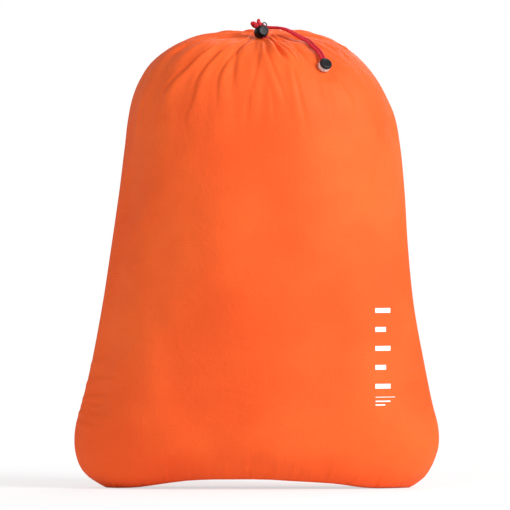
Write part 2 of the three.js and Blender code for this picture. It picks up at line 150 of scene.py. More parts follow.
# ------------------------------------------------------------------ the sack's smooth surface
# height, half width, half depth, centre x, forward tilt; a row's index is its level
SECTIONS = np.array([
    [0.0, 131.0, 0.0, 0.5, 0], [0.0, 131.5, 12, 0.5, 0], [0.0, 132.0, 23, 0.5, 0],
    [0.0, 133.0, 32, 0.5, 0], [1.8, 137.0, 37.5, 0.6, 0], [5.3, 142.5, 42.5, 0.2, 0],
    [10, 148.5, 46, -0.4, 0], [17, 153.8, 49, -1.0, 0], [26, 157.8, 51.5, -0.9, 0],
    [38, 160.4, 54, -0.4, 0], [54, 159.6, 57.5, -0.2, 0], [77, 153.8, 61.5, 0, 0],
    [112, 146.0, 66.5, 0.7, 0], [160, 137.2, 72, 0.9, 0], [210, 130.8, 76.5, 2.2, 0],
    [258, 125.8, 80.5, 4.2, 0], [298, 121.4, 82.6, 4.8, 0], [324, 117.5, 82.2, 4, 0],
    [343, 111.6, 79.5, 2.2, 0], [359, 103.8, 74.5, 1, 0.005], [372, 94.4, 67.5, 0.2, 0.02],
    [382.5, 82.5, 58.5, 0.8, 0.04], [390.5, 69.5, 48, 1.8, 0.075],
    [395.2, 56.5, 38.5, 2.8, 0.13], [397.4, 44, 31, 4.2, 0.19], [398.2, 31.5, 25.0, 5.2, 0.15],
    [398.6, 20.6, 19.2, 6, 0.10], [397.0, 16.4, 16.0, 6, 0.09], [390.6, 14.4, 14.4, 6, 0.14]])
# x, height of the bottom seam there
BASE_LINE = np.array([
    [-170, 0], [-122, 0], [-112, 0.35], [-103, 1.1], [-94, 2.3], [-85, 3.7], [-74, 5.3],
    [-62, 6.8], [-50, 7.6], [-38, 8], [-5, 8.2], [12, 7.8], [29, 6.7], [50, 5.5], [66, 4.4],
    [76, 3.2], [84, 2.0], [92, 0.9], [100, 0.3], [110, 0], [170, 0]], float)
TOP_LEVEL = len(SECTIONS) - 1
NECK_X, NECK_Z, NECK_R, NECK_TILT, HEM_R = 6.0, 387.6, 13.5, 0.15, 4.2


def base_height(x):
    return np.interp(x, BASE_LINE[:, 0], BASE_LINE[:, 1])


def section(level):
    level = np.clip(np.asarray(level, float), 0, TOP_LEVEL)
    i = np.minimum(np.floor(level).astype(int), TOP_LEVEL - 1)
    t = (level - i)[..., None]
    here, above = SECTIONS[i], SECTIONS[i + 1]
    cubic = catmull(SECTIONS[np.maximum(i - 1, 0)], here, above,
                    SECTIONS[np.minimum(i + 2, TOP_LEVEL)], t)
    return np.where((i < 3)[..., None], here + (above - here) * t, cubic)


def surface(level, angle):
    """Point at a level and angle (0 right seam, pi left seam, pi..2pi front)."""
    level, angle = np.broadcast_arrays(np.asarray(level, float), np.asarray(angle, float))
    sec = section(level)
    sine = np.sin(angle)
    # the ellipse is squared off a little over the body
    lens = np.abs(sine) ** (0.10 * (1 - smooth(21, 25, level)) * smooth(3, 8, level))
    x = sec[..., 3] + sec[..., 1] * np.cos(angle)
    y = sec[..., 2] * sine * lens
    z = np.maximum(sec[..., 0], 0)
    z = z + sec[..., 4] * y + base_height(x) * (1 - smooth(6, 60, z)) * (level < 12)
    return np.stack([x, y, z], -1)


def rows(count):
    """Levels of the mesh rows, closer together at the bottom and towards the gathered top."""
    level = np.linspace(0, TOP_LEVEL, 2801)
    step = 0.5 * (steps(surface(level, -math.pi / 2)) + steps(surface(level, 0.0)))
    run = running(step)
    left = run[-1] - run
    density = (1 + 0.9 * (1 - smooth(90, 170, left)) + 1.6 * (1 - smooth(8, 45, left))
               + 0.5 * (1 - smooth(10, 60, run)))
    weight = running(step * 0.5 * (density[1:] + density[:-1]))
    return np.interp(np.linspace(0, weight[-1], count), weight, level)


def grid_normals(grid):
    """Outward normals of a grid [row, column], periodic around."""
    around = np.roll(grid, -1, 1) - np.roll(grid, 1, 1)
    return unit(np.cross(around, np.gradient(grid, axis=0)))


def resample(coarse, from_levels, to_levels, column_count):
    """A coarse periodic grid of vectors taken to a finer one, Catmull-Rom both ways."""
    def along_first(grid, at, periodic):
        count = grid.shape[0]
        i = np.floor(at).astype(int)
        t = (at - i).reshape((-1,) + (1,) * (grid.ndim - 1))

        def row(k):
            return grid[k % count] if periodic else grid[np.clip(k, 0, count - 1)]
        return catmull(row(i - 1), row(i), row(i + 1), row(i + 2), t)
    at_rows = np.interp(to_levels, from_levels, np.arange(len(from_levels)))
    at_columns = np.arange(column_count) * (coarse.shape[1] / column_count)
    fine = np.swapaxes(along_first(coarse, at_rows, False), 0, 1)
    return np.swapaxes(along_first(fine, at_columns, True), 0, 1)


# ------------------------------------------------------------------ places of the hardware
LOCK_C = np.array([4, -27.5, 400.0])         # cord lock: centre and axes
LOCK_W = unit([0.36, -0.915, 0.18])          # along the button
LOCK_H = np.array([-0.446, 0, 0.893])        # along the cords
LOCK_H = unit(LOCK_H - LOCK_W * (LOCK_H @ LOCK_W))
LOCK_S = unit(np.cross(LOCK_W, LOCK_H))
END_O = np.array([57.65, -56.568, 367.744])  # cord end: origin and axes
END_N = unit([0.384, -0.747, 0.543])         # along the cup's axis
END_U = np.array([-0.196, 0.509, 0.838])
END_U = unit(END_U - END_N * (END_U @ END_N))
# the tail's middle line: point, direction from one strand to the other
TAIL = [
    ((8, -15.2, 404.3), (.04, 1, 0)), ((13, -15.4, 404.0), (.206, .978, -.012)),
    ((18.4, -17.4, 403.7), (.449, .893, -.044)), ((24, -21, 402.6), (.563, .825, -.04)),
    ((29, -24.8, 400.3), (.557, .83, .038)), ((34.2, -27.6, 397.2), (.576, .803, .155)),
    ((39.9, -31.4, 394), (.642, .732, .23)),
    ((45.322, -35.367, 390.889), (.785, .579, .217)),
    ((49.326, -41.393, 386.581), (.848, .491, .201)),
    ((53.477, -46.048, 382.601), (.903, .393, .176)),
    ((57.295, -54.884, 375.827), (.902, .428, -.05)),
    ((57.784, -56.158, 373.732), (.902, .428, -.05))]
UPPER_JOINT, LOWER_JOINT = 4, 8              # stations of TAIL
CORD_R = 1.3
PITCH = 1.45                                 # of each strand from the tail's middle line
CORD_SKIN_R = CORD_R - 0.02

# ------------------------------------------------------------------ the cloth grid
COLUMNS, ROWS = 560, 330     # round the whole sack, and from the bottom seam to the neck
MID_X = NECK_X               # each face is divided here, where its middle column runs


def columns(level, count):
    """Column angles at each level, the middle one of the front and of the back at MID_X."""
    angle = np.arange(count)[None, :] * TAU / count
    sec = section(level)
    offset = (MID_X - sec[:, 3]) / np.maximum(sec[:, 1], 1)
    lean = np.arcsin(np.clip(offset, -0.5, 0.5))[:, None]
    return angle - lean * np.sin(angle) * np.abs(np.sin(angle))


levels = rows(ROWS)
angles = columns(levels, COLUMNS)
skin = surface(levels[:, None], angles)
skin_out = grid_normals(skin)
skin_x, skin_y, skin_z = skin[..., 0], skin[..., 1], skin[..., 2]
front_arc = arc_length(surface(levels, -math.pi / 2))
to_neck = np.interp(26, levels, front_arc) - front_arc
to_neck = np.repeat(np.maximum(to_neck, 0)[:, None], COLUMNS, 1)
level_grid = np.repeat(levels[:, None], COLUMNS, 1)


def ring_quads(index):
    """Quads of a grid of vertex indices, periodic in its columns."""
    beside = np.roll(index, -1, 1)
    return np.stack([index[:-1], beside[:-1], beside[1:], index[1:]], -1).reshape(-1, 4)


# soft cloth blown out from inside
CLOTH = dict(quality=6, mass=0.15, tension_stiffness=18, compression_stiffness=12,
             shear_stiffness=6, bending_stiffness=0.05, tension_damping=10,
             compression_damping=10, shear_damping=10, air_damping=3, vertex_group_mass="pin",
             pin_stiffness=1.0, use_pressure=True, uniform_pressure_force=5.0,
             shrink_min=-0.022)
CLOTH_FRAMES = 22
MAX_MOVE = 6.0


def inflate(column_count=176, row_count=118):
    """Cloth pressure on a coarse copy pinned at its seams, base and neck.

    Returns the copy's levels and how far each of its points moved.
    """
    level = rows(row_count)
    start = surface(level[:, None], columns(level, column_count))
    quads = ring_quads(np.arange(column_count * row_count).reshape(row_count, column_count))
    mesh = bpy.data.meshes.new("sim")
    mesh.from_pydata((start.reshape(-1, 3) * MM).tolist(), [], quads.tolist())
    mesh.update()
    ob = bpy.data.objects.new("sim", mesh)
    bpy.context.scene.collection.objects.link(ob)
    pinned = np.zeros((row_count, column_count), bool)
    pinned[:, (np.arange(column_count) % (column_count // 2)) == 0] = True
    pinned[level < 3.6] = True
    pinned[level > 24.0] = True
    group = ob.vertex_groups.new(name="pin")
    for i in np.nonzero(pinned.ravel())[0]:
        group.add([int(i)], 1.0, "REPLACE")
    modifier = ob.modifiers.new("Cloth", "CLOTH")
    for key, value in CLOTH.items():
        setattr(modifier.settings, key, value)
    modifier.settings.effector_weights.gravity = 0
    modifier.collision_settings.use_collision = False
    modifier.collision_settings.use_self_collision = False
    scene = bpy.context.scene
    for frame in range(1, CLOTH_FRAMES + 1):
        scene.frame_set(frame)
    depsgraph = bpy.context.evaluated_depsgraph_get()
    result = ob.evaluated_get(depsgraph).to_mesh()
    co = np.zeros(len(result.vertices) * 3)
    result.vertices.foreach_get("co", co)
    ob.evaluated_get(depsgraph).to_mesh_clear()
    ob.modifiers.clear()
    scene.frame_set(1)
    bpy.data.objects.remove(ob, do_unlink=True)
    bpy.data.meshes.remove(mesh)
    moved = co.reshape(row_count, column_count, 3) / MM - start
    far = np.linalg.norm(moved, axis=-1, keepdims=True)
    moved = moved * np.minimum(1, MAX_MOVE / np.maximum(far, 1e-9))
    for _ in range(3):      # the coarse cells' own ripples are evened out
        moved = 0.25 * np.roll(moved, 1, 1) + 0.5 * moved + 0.25 * np.roll(moved, -1, 1)
        moved[1:-1] = 0.25 * moved[:-2] + 0.5 * moved[1:-1] + 0.25 * moved[2:]
    return level, moved


swell = None
sim_levels, sim_move = inflate()
swell = resample(sim_move, sim_levels, levels, COLUMNS)


# ------------------------------------------------------------------ relief: gathers and lumps
# relief is how far the cloth stands off the smooth surface, along its normal
def fold_phase(angle, count, seed):
    """Phase of folds round the neck, unevenly spaced."""
    random = np.random.default_rng(seed)
    phase = count * angle
    for k in range(1, 6):
        wobble = 0.35 * count / (k + 2.5) * 0.5
        phase = phase + wobble * np.sin(k * angle + random.uniform(0, PHASE_SPAN))
    return phase


def gather(angle, count, seed):
    """Folds around the neck with sharp valleys and round ridges."""
    return np.abs(np.cos(fold_phase(angle, count, seed) / 2)) ** 0.75 - 0.64


def gathers():
    """Deep folds at the neck, and soft ripples further down."""
    deep = gather(angles, 22, 3)
    wide = gather(angles + 0.05 * np.sin(to_neck / 14), 14, 8)
    fine = gather(angles + 0.03 * np.sin(to_neck / 23 + 1), 34, 12)
    uneven = 0.75 + 0.25 * np.sin(5 * angles + 1.3) * np.sin(3 * angles + 0.4)
    out = deep * 2.7 * uneven * bell(to_neck, 33, 1.4)
    out += wide * 2.3 * (1.2 - 0.5 * uneven) * bell(to_neck, 58, 1.5) * smooth(1, 14, to_neck)
    out += fine * 0.55 * bell(to_neck, 44) * smooth(0, 9, to_neck)
    broad = fold_phase(angles + 0.04 * np.sin(to_neck / 31 + 2), 26, 21)
    close = fold_phase(angles + 0.05 * np.sin(to_neck / 40), 40, 33)
    out += (0.62 * (np.cos(broad) - 0.25 * np.cos(2 * broad)) * smooth(12, 45, to_neck)
            * bell(to_neck, 105, 3))
    out += 0.20 * np.cos(close) * smooth(15, 40, to_neck) * bell(to_neck, 90, 3)
    return out


LUMPS = ((120, 1.1, 5), (62, 0.55, 7), (30, 0.17, 9))     # wavelength, height, waves


def lumps():
    """Long soft lumps from what is packed inside, and smaller slack in the cloth."""
    random = np.random.default_rng(718)
    points = skin.reshape(-1, 3)
    out = np.zeros(len(points))
    for wavelength, height, count in LUMPS:
        for _ in range(count):
            wave = random.normal(size=3)
            wave[2] *= 0.75
            length = wavelength * random.uniform(0.8, 1.25)
            wave = wave / np.linalg.norm(wave) * TAU / length
            phase = random.uniform(0, PHASE_SPAN)
            out += height / math.sqrt(count) * 1.3 * np.sin(points @ wave + phase)
    return out.reshape(ROWS, COLUMNS)


# broad shallow hollows and swells by side, -1 front and 1 back: x, z, width, height, rise
SWELLS = {
    -1: ((-62, 205, 34, 60, -1.6), (-8, 150, 40, 46, -1.5), (62, 250, 46, 60, 1.5),
         (8, 60, 52, 34, -1.6), (86, 60, 38, 40, 1.4), (-92, 120, 30, 52, 1.2),
         (30, 328, 30, 34, 1.2), (-50, 322, 26, 40, 1.1)),
    1: ((58, 190, 36, 60, -1.6), (-30, 230, 46, 60, 1.5), (10, 90, 52, 40, -1.4),
        (-86, 70, 38, 40, 1.3))}

# no lumps at the side seams, the base or the neck
calm = (smooth(2, 60, np.abs(skin_y)) * smooth(3.5, 9, level_grid)
        * (1 - smooth(23, 25, level_grid)))
relief = gathers() + lumps() * calm * 1.25
for side, swells in SWELLS.items():
    for x, z, width, height, rise in swells:
        relief += (rise * bell(skin_x - x, width) * bell(skin_z - z, height)
                   * (skin_y * side > 0) * calm)

# ------------------------------------------------------------------ relief: creases
# surface points of each side, for finding one by its x and z
_levels, _angles = np.linspace(3, 26, 700)[:, None], np.linspace(0, math.pi, 361)[None, :]
LOOKUP = {1: surface(_levels, _angles).reshape(-1, 3),
          -1: surface(_levels, TAU - _angles).reshape(-1, 3)}


def on_sack(x, z, side):
    p = LOOKUP[side]
    miss = (p[:, 0] - x) ** 2 + (p[:, 2] - z) ** 2 + 0.02 * (np.abs(p[:, 1]) < 8)
    return p[int(np.argmin(miss))]


def crease(points, strength, width, end_width, flip=1, *, start, fade=0.55, side=-1):
    """A fold along points [(x, z)]: a narrow valley with a soft ridge on one side of it.

    It grows in over the first part of its length (start) and dies away from fade on.
    """
    line = polyline([on_sack(x, z, side) for x, z in points])
    hit = np.all((skin > line.min(0) - 16) & (skin < line.max(0) + 16), axis=-1)
    hit &= skin_y * side > -0.5
    near = skin[hit]
    gap2 = ((near[:, None, :] - line[None, :, :]) ** 2).sum(-1)
    j = gap2.argmin(1)
    along = j / (len(line) - 1)
    tangent = unit(np.gradient(line, axis=0))[j]
    hand = np.sign((np.cross(tangent, skin_out[hit]) * (near - line[j])).sum(-1)) * flip
    s = np.sqrt(gap2[np.arange(len(near)), j]) * hand
    w = width + (end_width - width) * along
    profile = (-bell(s, 0.78 * w) + 0.95 * bell(s - 2.0 * w, 1.6 * w)
               - 0.25 * bell(s + 2.4 * w, 2.2 * w))
    envelope = smooth(0, start, along) * (1 - smooth(fade, 1.0, along)) * bell(s, 5 * w)
    relief[hit] += strength * profile * envelope


# folds running down from the gather on the front: [(x, z)], strength, widths, flip
FRONT_FOLDS = [
    ([(-12, 400), (-22, 396.5), (-46, 390.5), (-69, 379.5), (-85, 370)], 1.15, 1.1, 2.6, 1),
    ([(-6, 398.5), (-22, 392), (-34, 386), (-55, 369), (-74, 350), (-81, 336), (-78.5, 311)],
     1.75, 1.1, 3.4, -1),
    ([(-6, 397), (-21.5, 387.5), (-33, 378), (-46, 362), (-53.5, 346), (-55.5, 326)],
     1.35, 1.0, 3.0, -1),
    ([(-4, 395.5), (-15.5, 384), (-27, 367.5), (-33, 353.5), (-34, 330), (-33, 318)],
     0.9, 1.0, 2.8, -1),
    ([(-10, 389.5), (-17, 378), (-21, 354), (-23, 336)], 0.6, 1.0, 2.4, -1),
    ([(2.5, 392), (3.2, 384), (3.8, 374)], 0.8, 0.9, 1.6, 1),
    ([(3, 388), (0.5, 372), (-1.8, 359), (-6, 344), (-9.5, 322), (-10.5, 297)],
     0.6, 1.3, 3.4, -1),
    ([(5, 392), (8, 381), (14, 363.5), (21, 343), (25.5, 324)], 1.25, 1.0, 2.8, 1),
    ([(9, 394), (18, 383.5), (24, 374), (30, 366)], 2.5, 1.5, 2.7, 1),
    ([(12, 394.5), (20, 388), (28, 379), (33, 370), (35, 362)], 1.2, 0.9, 2.0, 1),
    ([(-2, 394.5), (-9, 388), (-14, 378), (-16, 366)], 0.7, 0.9, 1.8, -1),
    ([(-8, 398), (-26, 391), (-42, 380), (-60, 362), (-70, 345)], 0.7, 0.9, 2.2, -1),
    ([(26, 378), (30, 366), (33, 353.5), (37, 330), (43, 299.5)], 0.8, 1.2, 3.4, 1),
    ([(13, 395.5), (24, 390), (32, 381), (35.5, 374), (37, 365)], 1.1, 1.0, 2.2, 1),
    ([(25, 391.5), (36, 382), (43, 372), (45, 360)], 0.55, 1.0, 2.2, 1),
    ([(48, 372), (56, 358), (61.5, 346), (65, 312)], 0.65, 1.2, 3.2, 1),
    ([(60, 389), (72, 382), (79, 369)], 0.8, 1.1, 2.6, 1),
    ([(62, 392), (78, 385.5), (91, 372), (101, 360.5), (108.5, 347), (113, 330)],
     1.25, 1.3, 2.6, 1),
    ([(66, 366), (73, 353), (82, 338), (86, 318)], 0.55, 1.1, 2.8, 1),
    ([(-3, 350), (-2.5, 336)], 0.35, 1.1, 1.8, 1),
    ([(-46, 356), (-56, 334), (-61, 319), (-58, 300)], 0.38, 1.2, 2.8, -1),
    ([(10, 352), (13, 332), (14, 308)], 0.35, 1.2, 2.6, 1),
    ([(-94, 345), (-102, 325), (-106, 300)], 0.55, 1.3, 3.2, 1),
    ([(98, 330), (104, 312), (106, 288)], 0.4, 1.3, 3.0, 1)]
# the strongest folds off the side seams, low on the front: [(x, z)], strength
SEAM_FOLDS = [
    ([(-157, 68), (-146, 66), (-134, 63), (-116, 60)], 1.5),
    ([(-158, 60), (-147, 58), (-136, 54)], 1.1),
    ([(-154, 80), (-142, 84), (-130, 84), (-116, 78)], 1.15),
    ([(-147, 110), (-137, 116), (-128, 120)], 1.0),
    ([(154, 74), (142, 70), (130, 69), (118, 62)], 1.3),
    ([(156, 62), (146, 66), (132, 58)], 1.0), ([(-151, 93), (-138, 98), (-122, 99)], 1.15),
    ([(-155, 74), (-143, 75), (-130, 73)], 0.9), ([(150, 92), (138, 90), (126, 82)], 0.9),
    ([(147, 108), (136, 104), (126, 96)], 0.8)]
# puckers rising from the bottom seam: x, height, strength
PUCKERS = [
    (-122, 15, 0.6), (-100, 13, 0.5), (-75, 17, 1.0), (-56, 15, 0.9), (-40, 11, 0.5),
    (-24, 12, 0.55), (-6, 17, 1.1), (2, 14, 0.7), (13, 18, 1.2), (29, 16, 1.0), (44, 11, 0.5),
    (60, 16, 0.9), (82, 12, 0.5), (104, 15, 0.6), (124, 14, 0.5)]


def gather_folds():
    """The folds from the gather; the back has them mirrored, but not alike."""
    top = 396

    def start(points):      # a fold that begins below the gather grows in slowly
        return 0.05 if points[0][1] > 380 else 0.42
    for points, strength, width, end_width, flip in FRONT_FOLDS:
        crease(points, strength * 1.38, width * 1.05, end_width * 1.12, flip,
               start=start(points))
    random = np.random.default_rng(41)
    for points, strength, width, end_width, flip in FRONT_FOLDS:
        shift = random.uniform(-7, 7)
        strength = strength * random.uniform(1.1, 1.7)
        stretch = random.uniform(0.9, 1.25)
        mirrored = [(-(x - NECK_X) + NECK_X + shift * min(1, abs(x - NECK_X) / 40),
                     top - (top - min(z, top)) * stretch) for x, z in points]
        crease(mirrored, strength, width, end_width, -flip, start=start(points), side=1)


def seam_slack():
    """Small creases off the side seams, front and back, stronger low down."""
    random = np.random.default_rng(57)
    index = np.arange(TOP_LEVEL + 1)
    for side in (-1, 1):
        for hand in (-1, 1):
            z = 26.0
            while z < 352:
                z += random.uniform(6.5, 17)
                sec = section(np.interp(z, SECTIONS[:, 0] + index * 1e-6, index))
                edge = sec[3] + hand * (sec[1] - 1.2)
                strong = 0.30 + (0.5 if 50 < z < 135 else 0) * random.uniform(0.3, 1)
                length = random.uniform(9, 20) * (1.7 if strong > 0.7 else 1)
                rise = random.uniform(-0.35, 0.45) + (0.25 if z < 60 else 0)
                strength = strong * random.uniform(0.5, 1.0)
                flip = 1 if random.uniform() > 0.5 else -1
                crease([(edge, z), (edge - hand * length * 0.45, z + rise * length * 0.3),
                        (edge - hand * length, z + rise * length)],
                       strength, 0.9, 2.1, flip, start=0.02, fade=0.15, side=side)


def base_puckers():
    for x, height, strength in PUCKERS:
        for side in (-1, 1):
            foot = x if side < 0 else 4 - x
            base = float(base_height(foot))
            crease([(foot, base + 0.6), (foot + 0.02 * x, base + height * 0.5),
                    (foot + 0.05 * x + 1.5, base + height * 1.5)], strength, 0.9, 2.2,
                   1 if foot > 0 else -1, start=0.02, fade=0.25, side=side)


gather_folds()
seam_slack()
for points, strength in SEAM_FOLDS:
    crease(points, strength, 1.2, 3.2, start=0.02, fade=0.3)
base_puckers()

# the outline runs smoothly along the side seams, more widely on the shoulders
shoulder = smooth(230, 300, skin_z)
relief *= 1 - 0.70 * bell(skin_y, 24) * shoulder * smooth(20, 60, to_neck)
relief *= 1 - 0.72 * bell(skin_y, 6.5) * (1 - shoulder) * smooth(20, 40, skin_z)

# the seam lines themselves are drawn in a little
from_seam = np.abs(skin_y)
on_side = smooth(4, 8, level_grid) * (1 - smooth(24.5, 26, level_grid))
relief -= 0.75 * bell(from_seam, 1.3) * on_side
relief += 0.35 * bell(from_seam - 4.5, 2.6) * on_side


# ------------------------------------------------------------------ the finished cloth
def distance_to(point):
    return np.linalg.norm(skin - np.asarray(point, float), axis=-1)


# the cloth stays under the lock, the cords and the cord end
hardware = np.concatenate([polyline([p for p, _ in TAIL[5:]]),
                           [END_O, END_O + END_U * 4, END_O - END_U * 4],
                           [LOCK_C - LOCK_W * 4]])
to_hardware = np.full(skin.shape[:2], 1e9)
for point in hardware:
    to_hardware = np.minimum(to_hardware, distance_to(point))
near = bell(to_hardware, 11.0, 4)
relief += 2.2 * bell(distance_to((8.0, -30.5, 391.5)), 6.0)
total = np.where(relief > 0.25, relief * (1 - near) + 0.25 * near, relief)
# pressed in where the tail bends, and flat on the ground
total -= 1.3 * bell(distance_to(TAIL[LOWER_JOINT][0]), 7.0)
ground = 1 - smooth(2.0, 5.0, level_grid)
total = total * (1 - 0.85 * ground)
move = total[..., None] * skin_out
if swell is not None:
    at_seam = 0.12 + 0.88 * smooth(1.0, 26.0, np.abs(skin_y))
    near_wide = bell(to_hardware, 30.0)
    move = move + swell * ((1 - near_wide) * (1 - ground) * at_seam)[..., None]
cloth = skin + move
# the seams and, towards the top, the middle columns stay in their planes
HALF, QUARTER = COLUMNS // 2, COLUMNS // 4
seam_columns, mid_columns = [0, HALF], [QUARTER, 3 * QUARTER]
upper = smooth(15, 17, levels)[:, None]
cloth[:, seam_columns, 1] = 0.0
cloth[:, mid_columns, 0] += upper * (MID_X - cloth[:, mid_columns, 0])
cloth[0, :, 1] = 0.0
cloth[..., 2] = np.maximum(cloth[..., 2], 0.05)

# the CAD panels set where the cloth stands
CLOTH_MID_X = (-160.8 + 160.0) / 2
front_low, front_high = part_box("front_panel")
back_low, back_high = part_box("back_panel")
SHIFT = np.array([(front_low.x + front_high.x) / 2 * 1000 - CLOTH_MID_X, 0.0,
                  min(front_low.z, back_low.z) * 1000])
cloth = cloth + SHIFT


# ------------------------------------------------------------------ mesh helpers
def new_mesh(name, verts, faces, uvs=None, materials=(), face_material=None):
    """A smooth-shaded object; uvs maps a layer's name to one uv per vertex."""
    mesh = bpy.data.meshes.new(name)
    mesh.from_pydata(np.asarray(verts, float).tolist(), [], [list(map(int, f)) for f in faces])
    for layer_name, uv in (uvs or {}).items():
        layer = mesh.uv_layers.new(name=layer_name)
        loops = np.zeros(len(mesh.loops), np.int32)
        mesh.loops.foreach_get("vertex_index", loops)
        layer.data.foreach_set("uv", np.asarray(uv, np.float32)[loops].ravel())
    for material in materials:
        mesh.materials.append(material)
    if face_material is not None:
        mesh.polygons.foreach_set("material_index", np.asarray(face_material, np.int32))
    mesh.polygons.foreach_set("use_smooth", np.full(len(mesh.polygons), True))
    mesh.update()
    ob = bpy.data.objects.new(name, mesh)
    bpy.context.scene.collection.objects.link(ob)
    return ob


def sheet_faces(row_count, column_count):
    """One sheet's quads, and the rim quads joining it to a second sheet that follows it."""
    count = row_count * column_count
    index = np.arange(count).reshape(row_count, column_count)
    quads = np.stack([index[:-1, :-1], index[:-1, 1:], index[1:, 1:], index[1:, :-1]], -1)
    border = np.concatenate([index[0, :], index[1:, -1], index[-1, -2::-1],
                             index[-2:0:-1, 0]])
    after = np.roll(border, -1)
    rim = np.stack([after, border, border + count, after + count], -1)
    return quads.reshape(-1, 4), rim


def tube_faces(rings, sides, flip=False):
    """Faces of a tube of rings; each end fans to one of the two vertices after them."""
    index = np.arange(rings * sides).reshape(rings, sides)
    beside = np.roll(index, -1, 1)
    start, end = rings * sides, rings * sides + 1
    faces = ring_quads(index).tolist()
    faces += [[start, beside[0][j], index[0][j]] for j in range(sides)]
    faces += [[end, index[-1][j], beside[-1][j]] for j in range(sides)]
    return [[face[0], *face[:0:-1]] for face in faces] if flip else faces


def tube(name, points, radius, sides, step, material, braid=0.0, run_from=0.0, cap=0.35):
    """A cord along points, its ends rounded over cap and its braid in the surface."""
    line = centripetal(points, step)
    tangent = unit(np.gradient(line, axis=0))
    reference = np.array([0, 0, 1.0] if abs(tangent[0][2]) < 0.9 else [1.0, 0, 0])
    normal = [unit(np.cross(tangent[0], reference))]
    for i in range(1, len(line)):
        normal.append(unit(normal[-1] - tangent[i] * (normal[-1] @ tangent[i])))
    normal = np.array(normal)
    binormal = np.cross(tangent, normal)
    run = arc_length(line)
    length = run[-1]
    ends = np.ones(len(line))
    if cap:
        from_end = np.minimum(run, length - run)
        ends = np.sqrt(np.clip(1 - (np.clip(cap - from_end, 0, cap) / cap) ** 2, 0.06, 1))
    around = np.arange(sides) * TAU / sides
    twist = TAU / (radius * 2.3) * (run[:, None] + run_from)
    weave = 1 + braid * (np.cos(4 * around[None, :] + twist) * np.cos(4 * around[None, :] - twist))
    reach = (radius * ends[:, None] * weave)[..., None]
    rings = line[:, None, :] + reach * (np.cos(around)[None, :, None] * normal[:, None, :]
                                        + np.sin(around)[None, :, None] * binormal[:, None, :])
    verts = np.concatenate([rings.reshape(-1, 3), line[:1], line[-1:]]) * MM
    u = np.repeat(np.abs(np.arange(sides) / sides * 2 - 1)[None, :], len(line), 0)
    v = np.repeat(((run + run_from) * 0.1)[:, None], sides, 1)
    uv = np.concatenate([np.stack([u, v], -1).reshape(-1, 2),
                         [[0.5, run_from * 0.1], [0.5, (length + run_from) * 0.1]]])
    ob = new_mesh(name, verts, tube_faces(len(line), sides), {"cord": uv}, [material])
    ob["length"] = float(length)
    return ob


def lathe(name, profile, origin, axes, segments, materials=(), bulge=None):
    """A turned piece about the last of axes; profile is (radius, height), from axis to axis."""
    ax, ay, az = axes
    around = np.arange(segments) * TAU / segments
    verts, rings = [], []
    for r, z in np.asarray(profile, float):
        if r < 1e-6:
            rings.append([len(verts)] * segments)
            verts.append(origin + az * z)
        else:
            rings.append(list(range(len(verts), len(verts) + segments)))
            for t in around:
                k = r if bulge is None else r * bulge(t, r, z)
                verts.append(origin + ax * (k * math.cos(t)) + ay * (k * math.sin(t)) + az * z)
    faces = []
    for low, high in zip(rings[:-1], rings[1:]):
        for j in range(segments):
            k = (j + 1) % segments
            face = list(dict.fromkeys([low[j], low[k], high[k], high[j]]))
            if len(face) > 2:
                faces.append(face)
    return new_mesh(name, np.array(verts) * MM, faces, None, materials)


def rounded(profile, radius):
    """Rounds the corners of a lathe profile."""
    p = [np.asarray(q, float) for q in profile]
    out = [p[0]]
    for a, b, c in zip(p[:-2], p[1:-1], p[2:]):
        before, after = np.linalg.norm(a - b), np.linalg.norm(c - b)
        k = min(radius, before * 0.45, after * 0.45)
        start = b + (a - b) / max(before, 1e-9) * k
        end = b + (c - b) / max(after, 1e-9) * k
        for t in np.linspace(0, 1, 5):
            out.append((1 - t) ** 2 * start + 2 * t * (1 - t) * b + t ** 2 * end)
    out.append(p[-1])
    return out


def torus(name, centre, axes, ring_r, wire_r, material, segments=48, sides=16):
    ax, ay, az = axes
    t = np.arange(segments) * TAU / segments
    s = np.arange(sides) * TAU / sides
    t, s = np.meshgrid(t, s, indexing="ij")
    verts = (centre + (ring_r + wire_r * np.cos(s))[..., None]
             * (np.cos(t)[..., None] * ax + np.sin(t)[..., None] * ay)
             + (wire_r * np.sin(s))[..., None] * az)
    index = np.arange(segments * sides).reshape(segments, sides)
    ahead, beside = np.roll(index, -1, 0), np.roll(index, -1, 1)
    quads = np.stack([index, ahead, np.roll(ahead, -1, 1), beside], -1).reshape(-1, 4)
    if np.dot(np.cross(ax, ay), az) < 0:
        quads = quads[:, ::-1]
    return new_mesh(name, verts.reshape(-1, 3) * MM, quads, None, [material])


def combine(ob, other, operation):
    """Applies a boolean with other, which is used up, and leaves a plain mesh."""
    modifier = ob.modifiers.new("combine", "BOOLEAN")
    modifier.operation, modifier.object, modifier.solver = operation, other, "EXACT"
    depsgraph = bpy.context.evaluated_depsgraph_get()
    depsgraph.update()
    mesh = bpy.data.meshes.new_from_object(ob.evaluated_get(depsgraph))
    old = ob.data
    ob.modifiers.clear()
    ob.data = mesh
    bpy.data.meshes.remove(old)
    bpy.data.objects.remove(other, do_unlink=True)


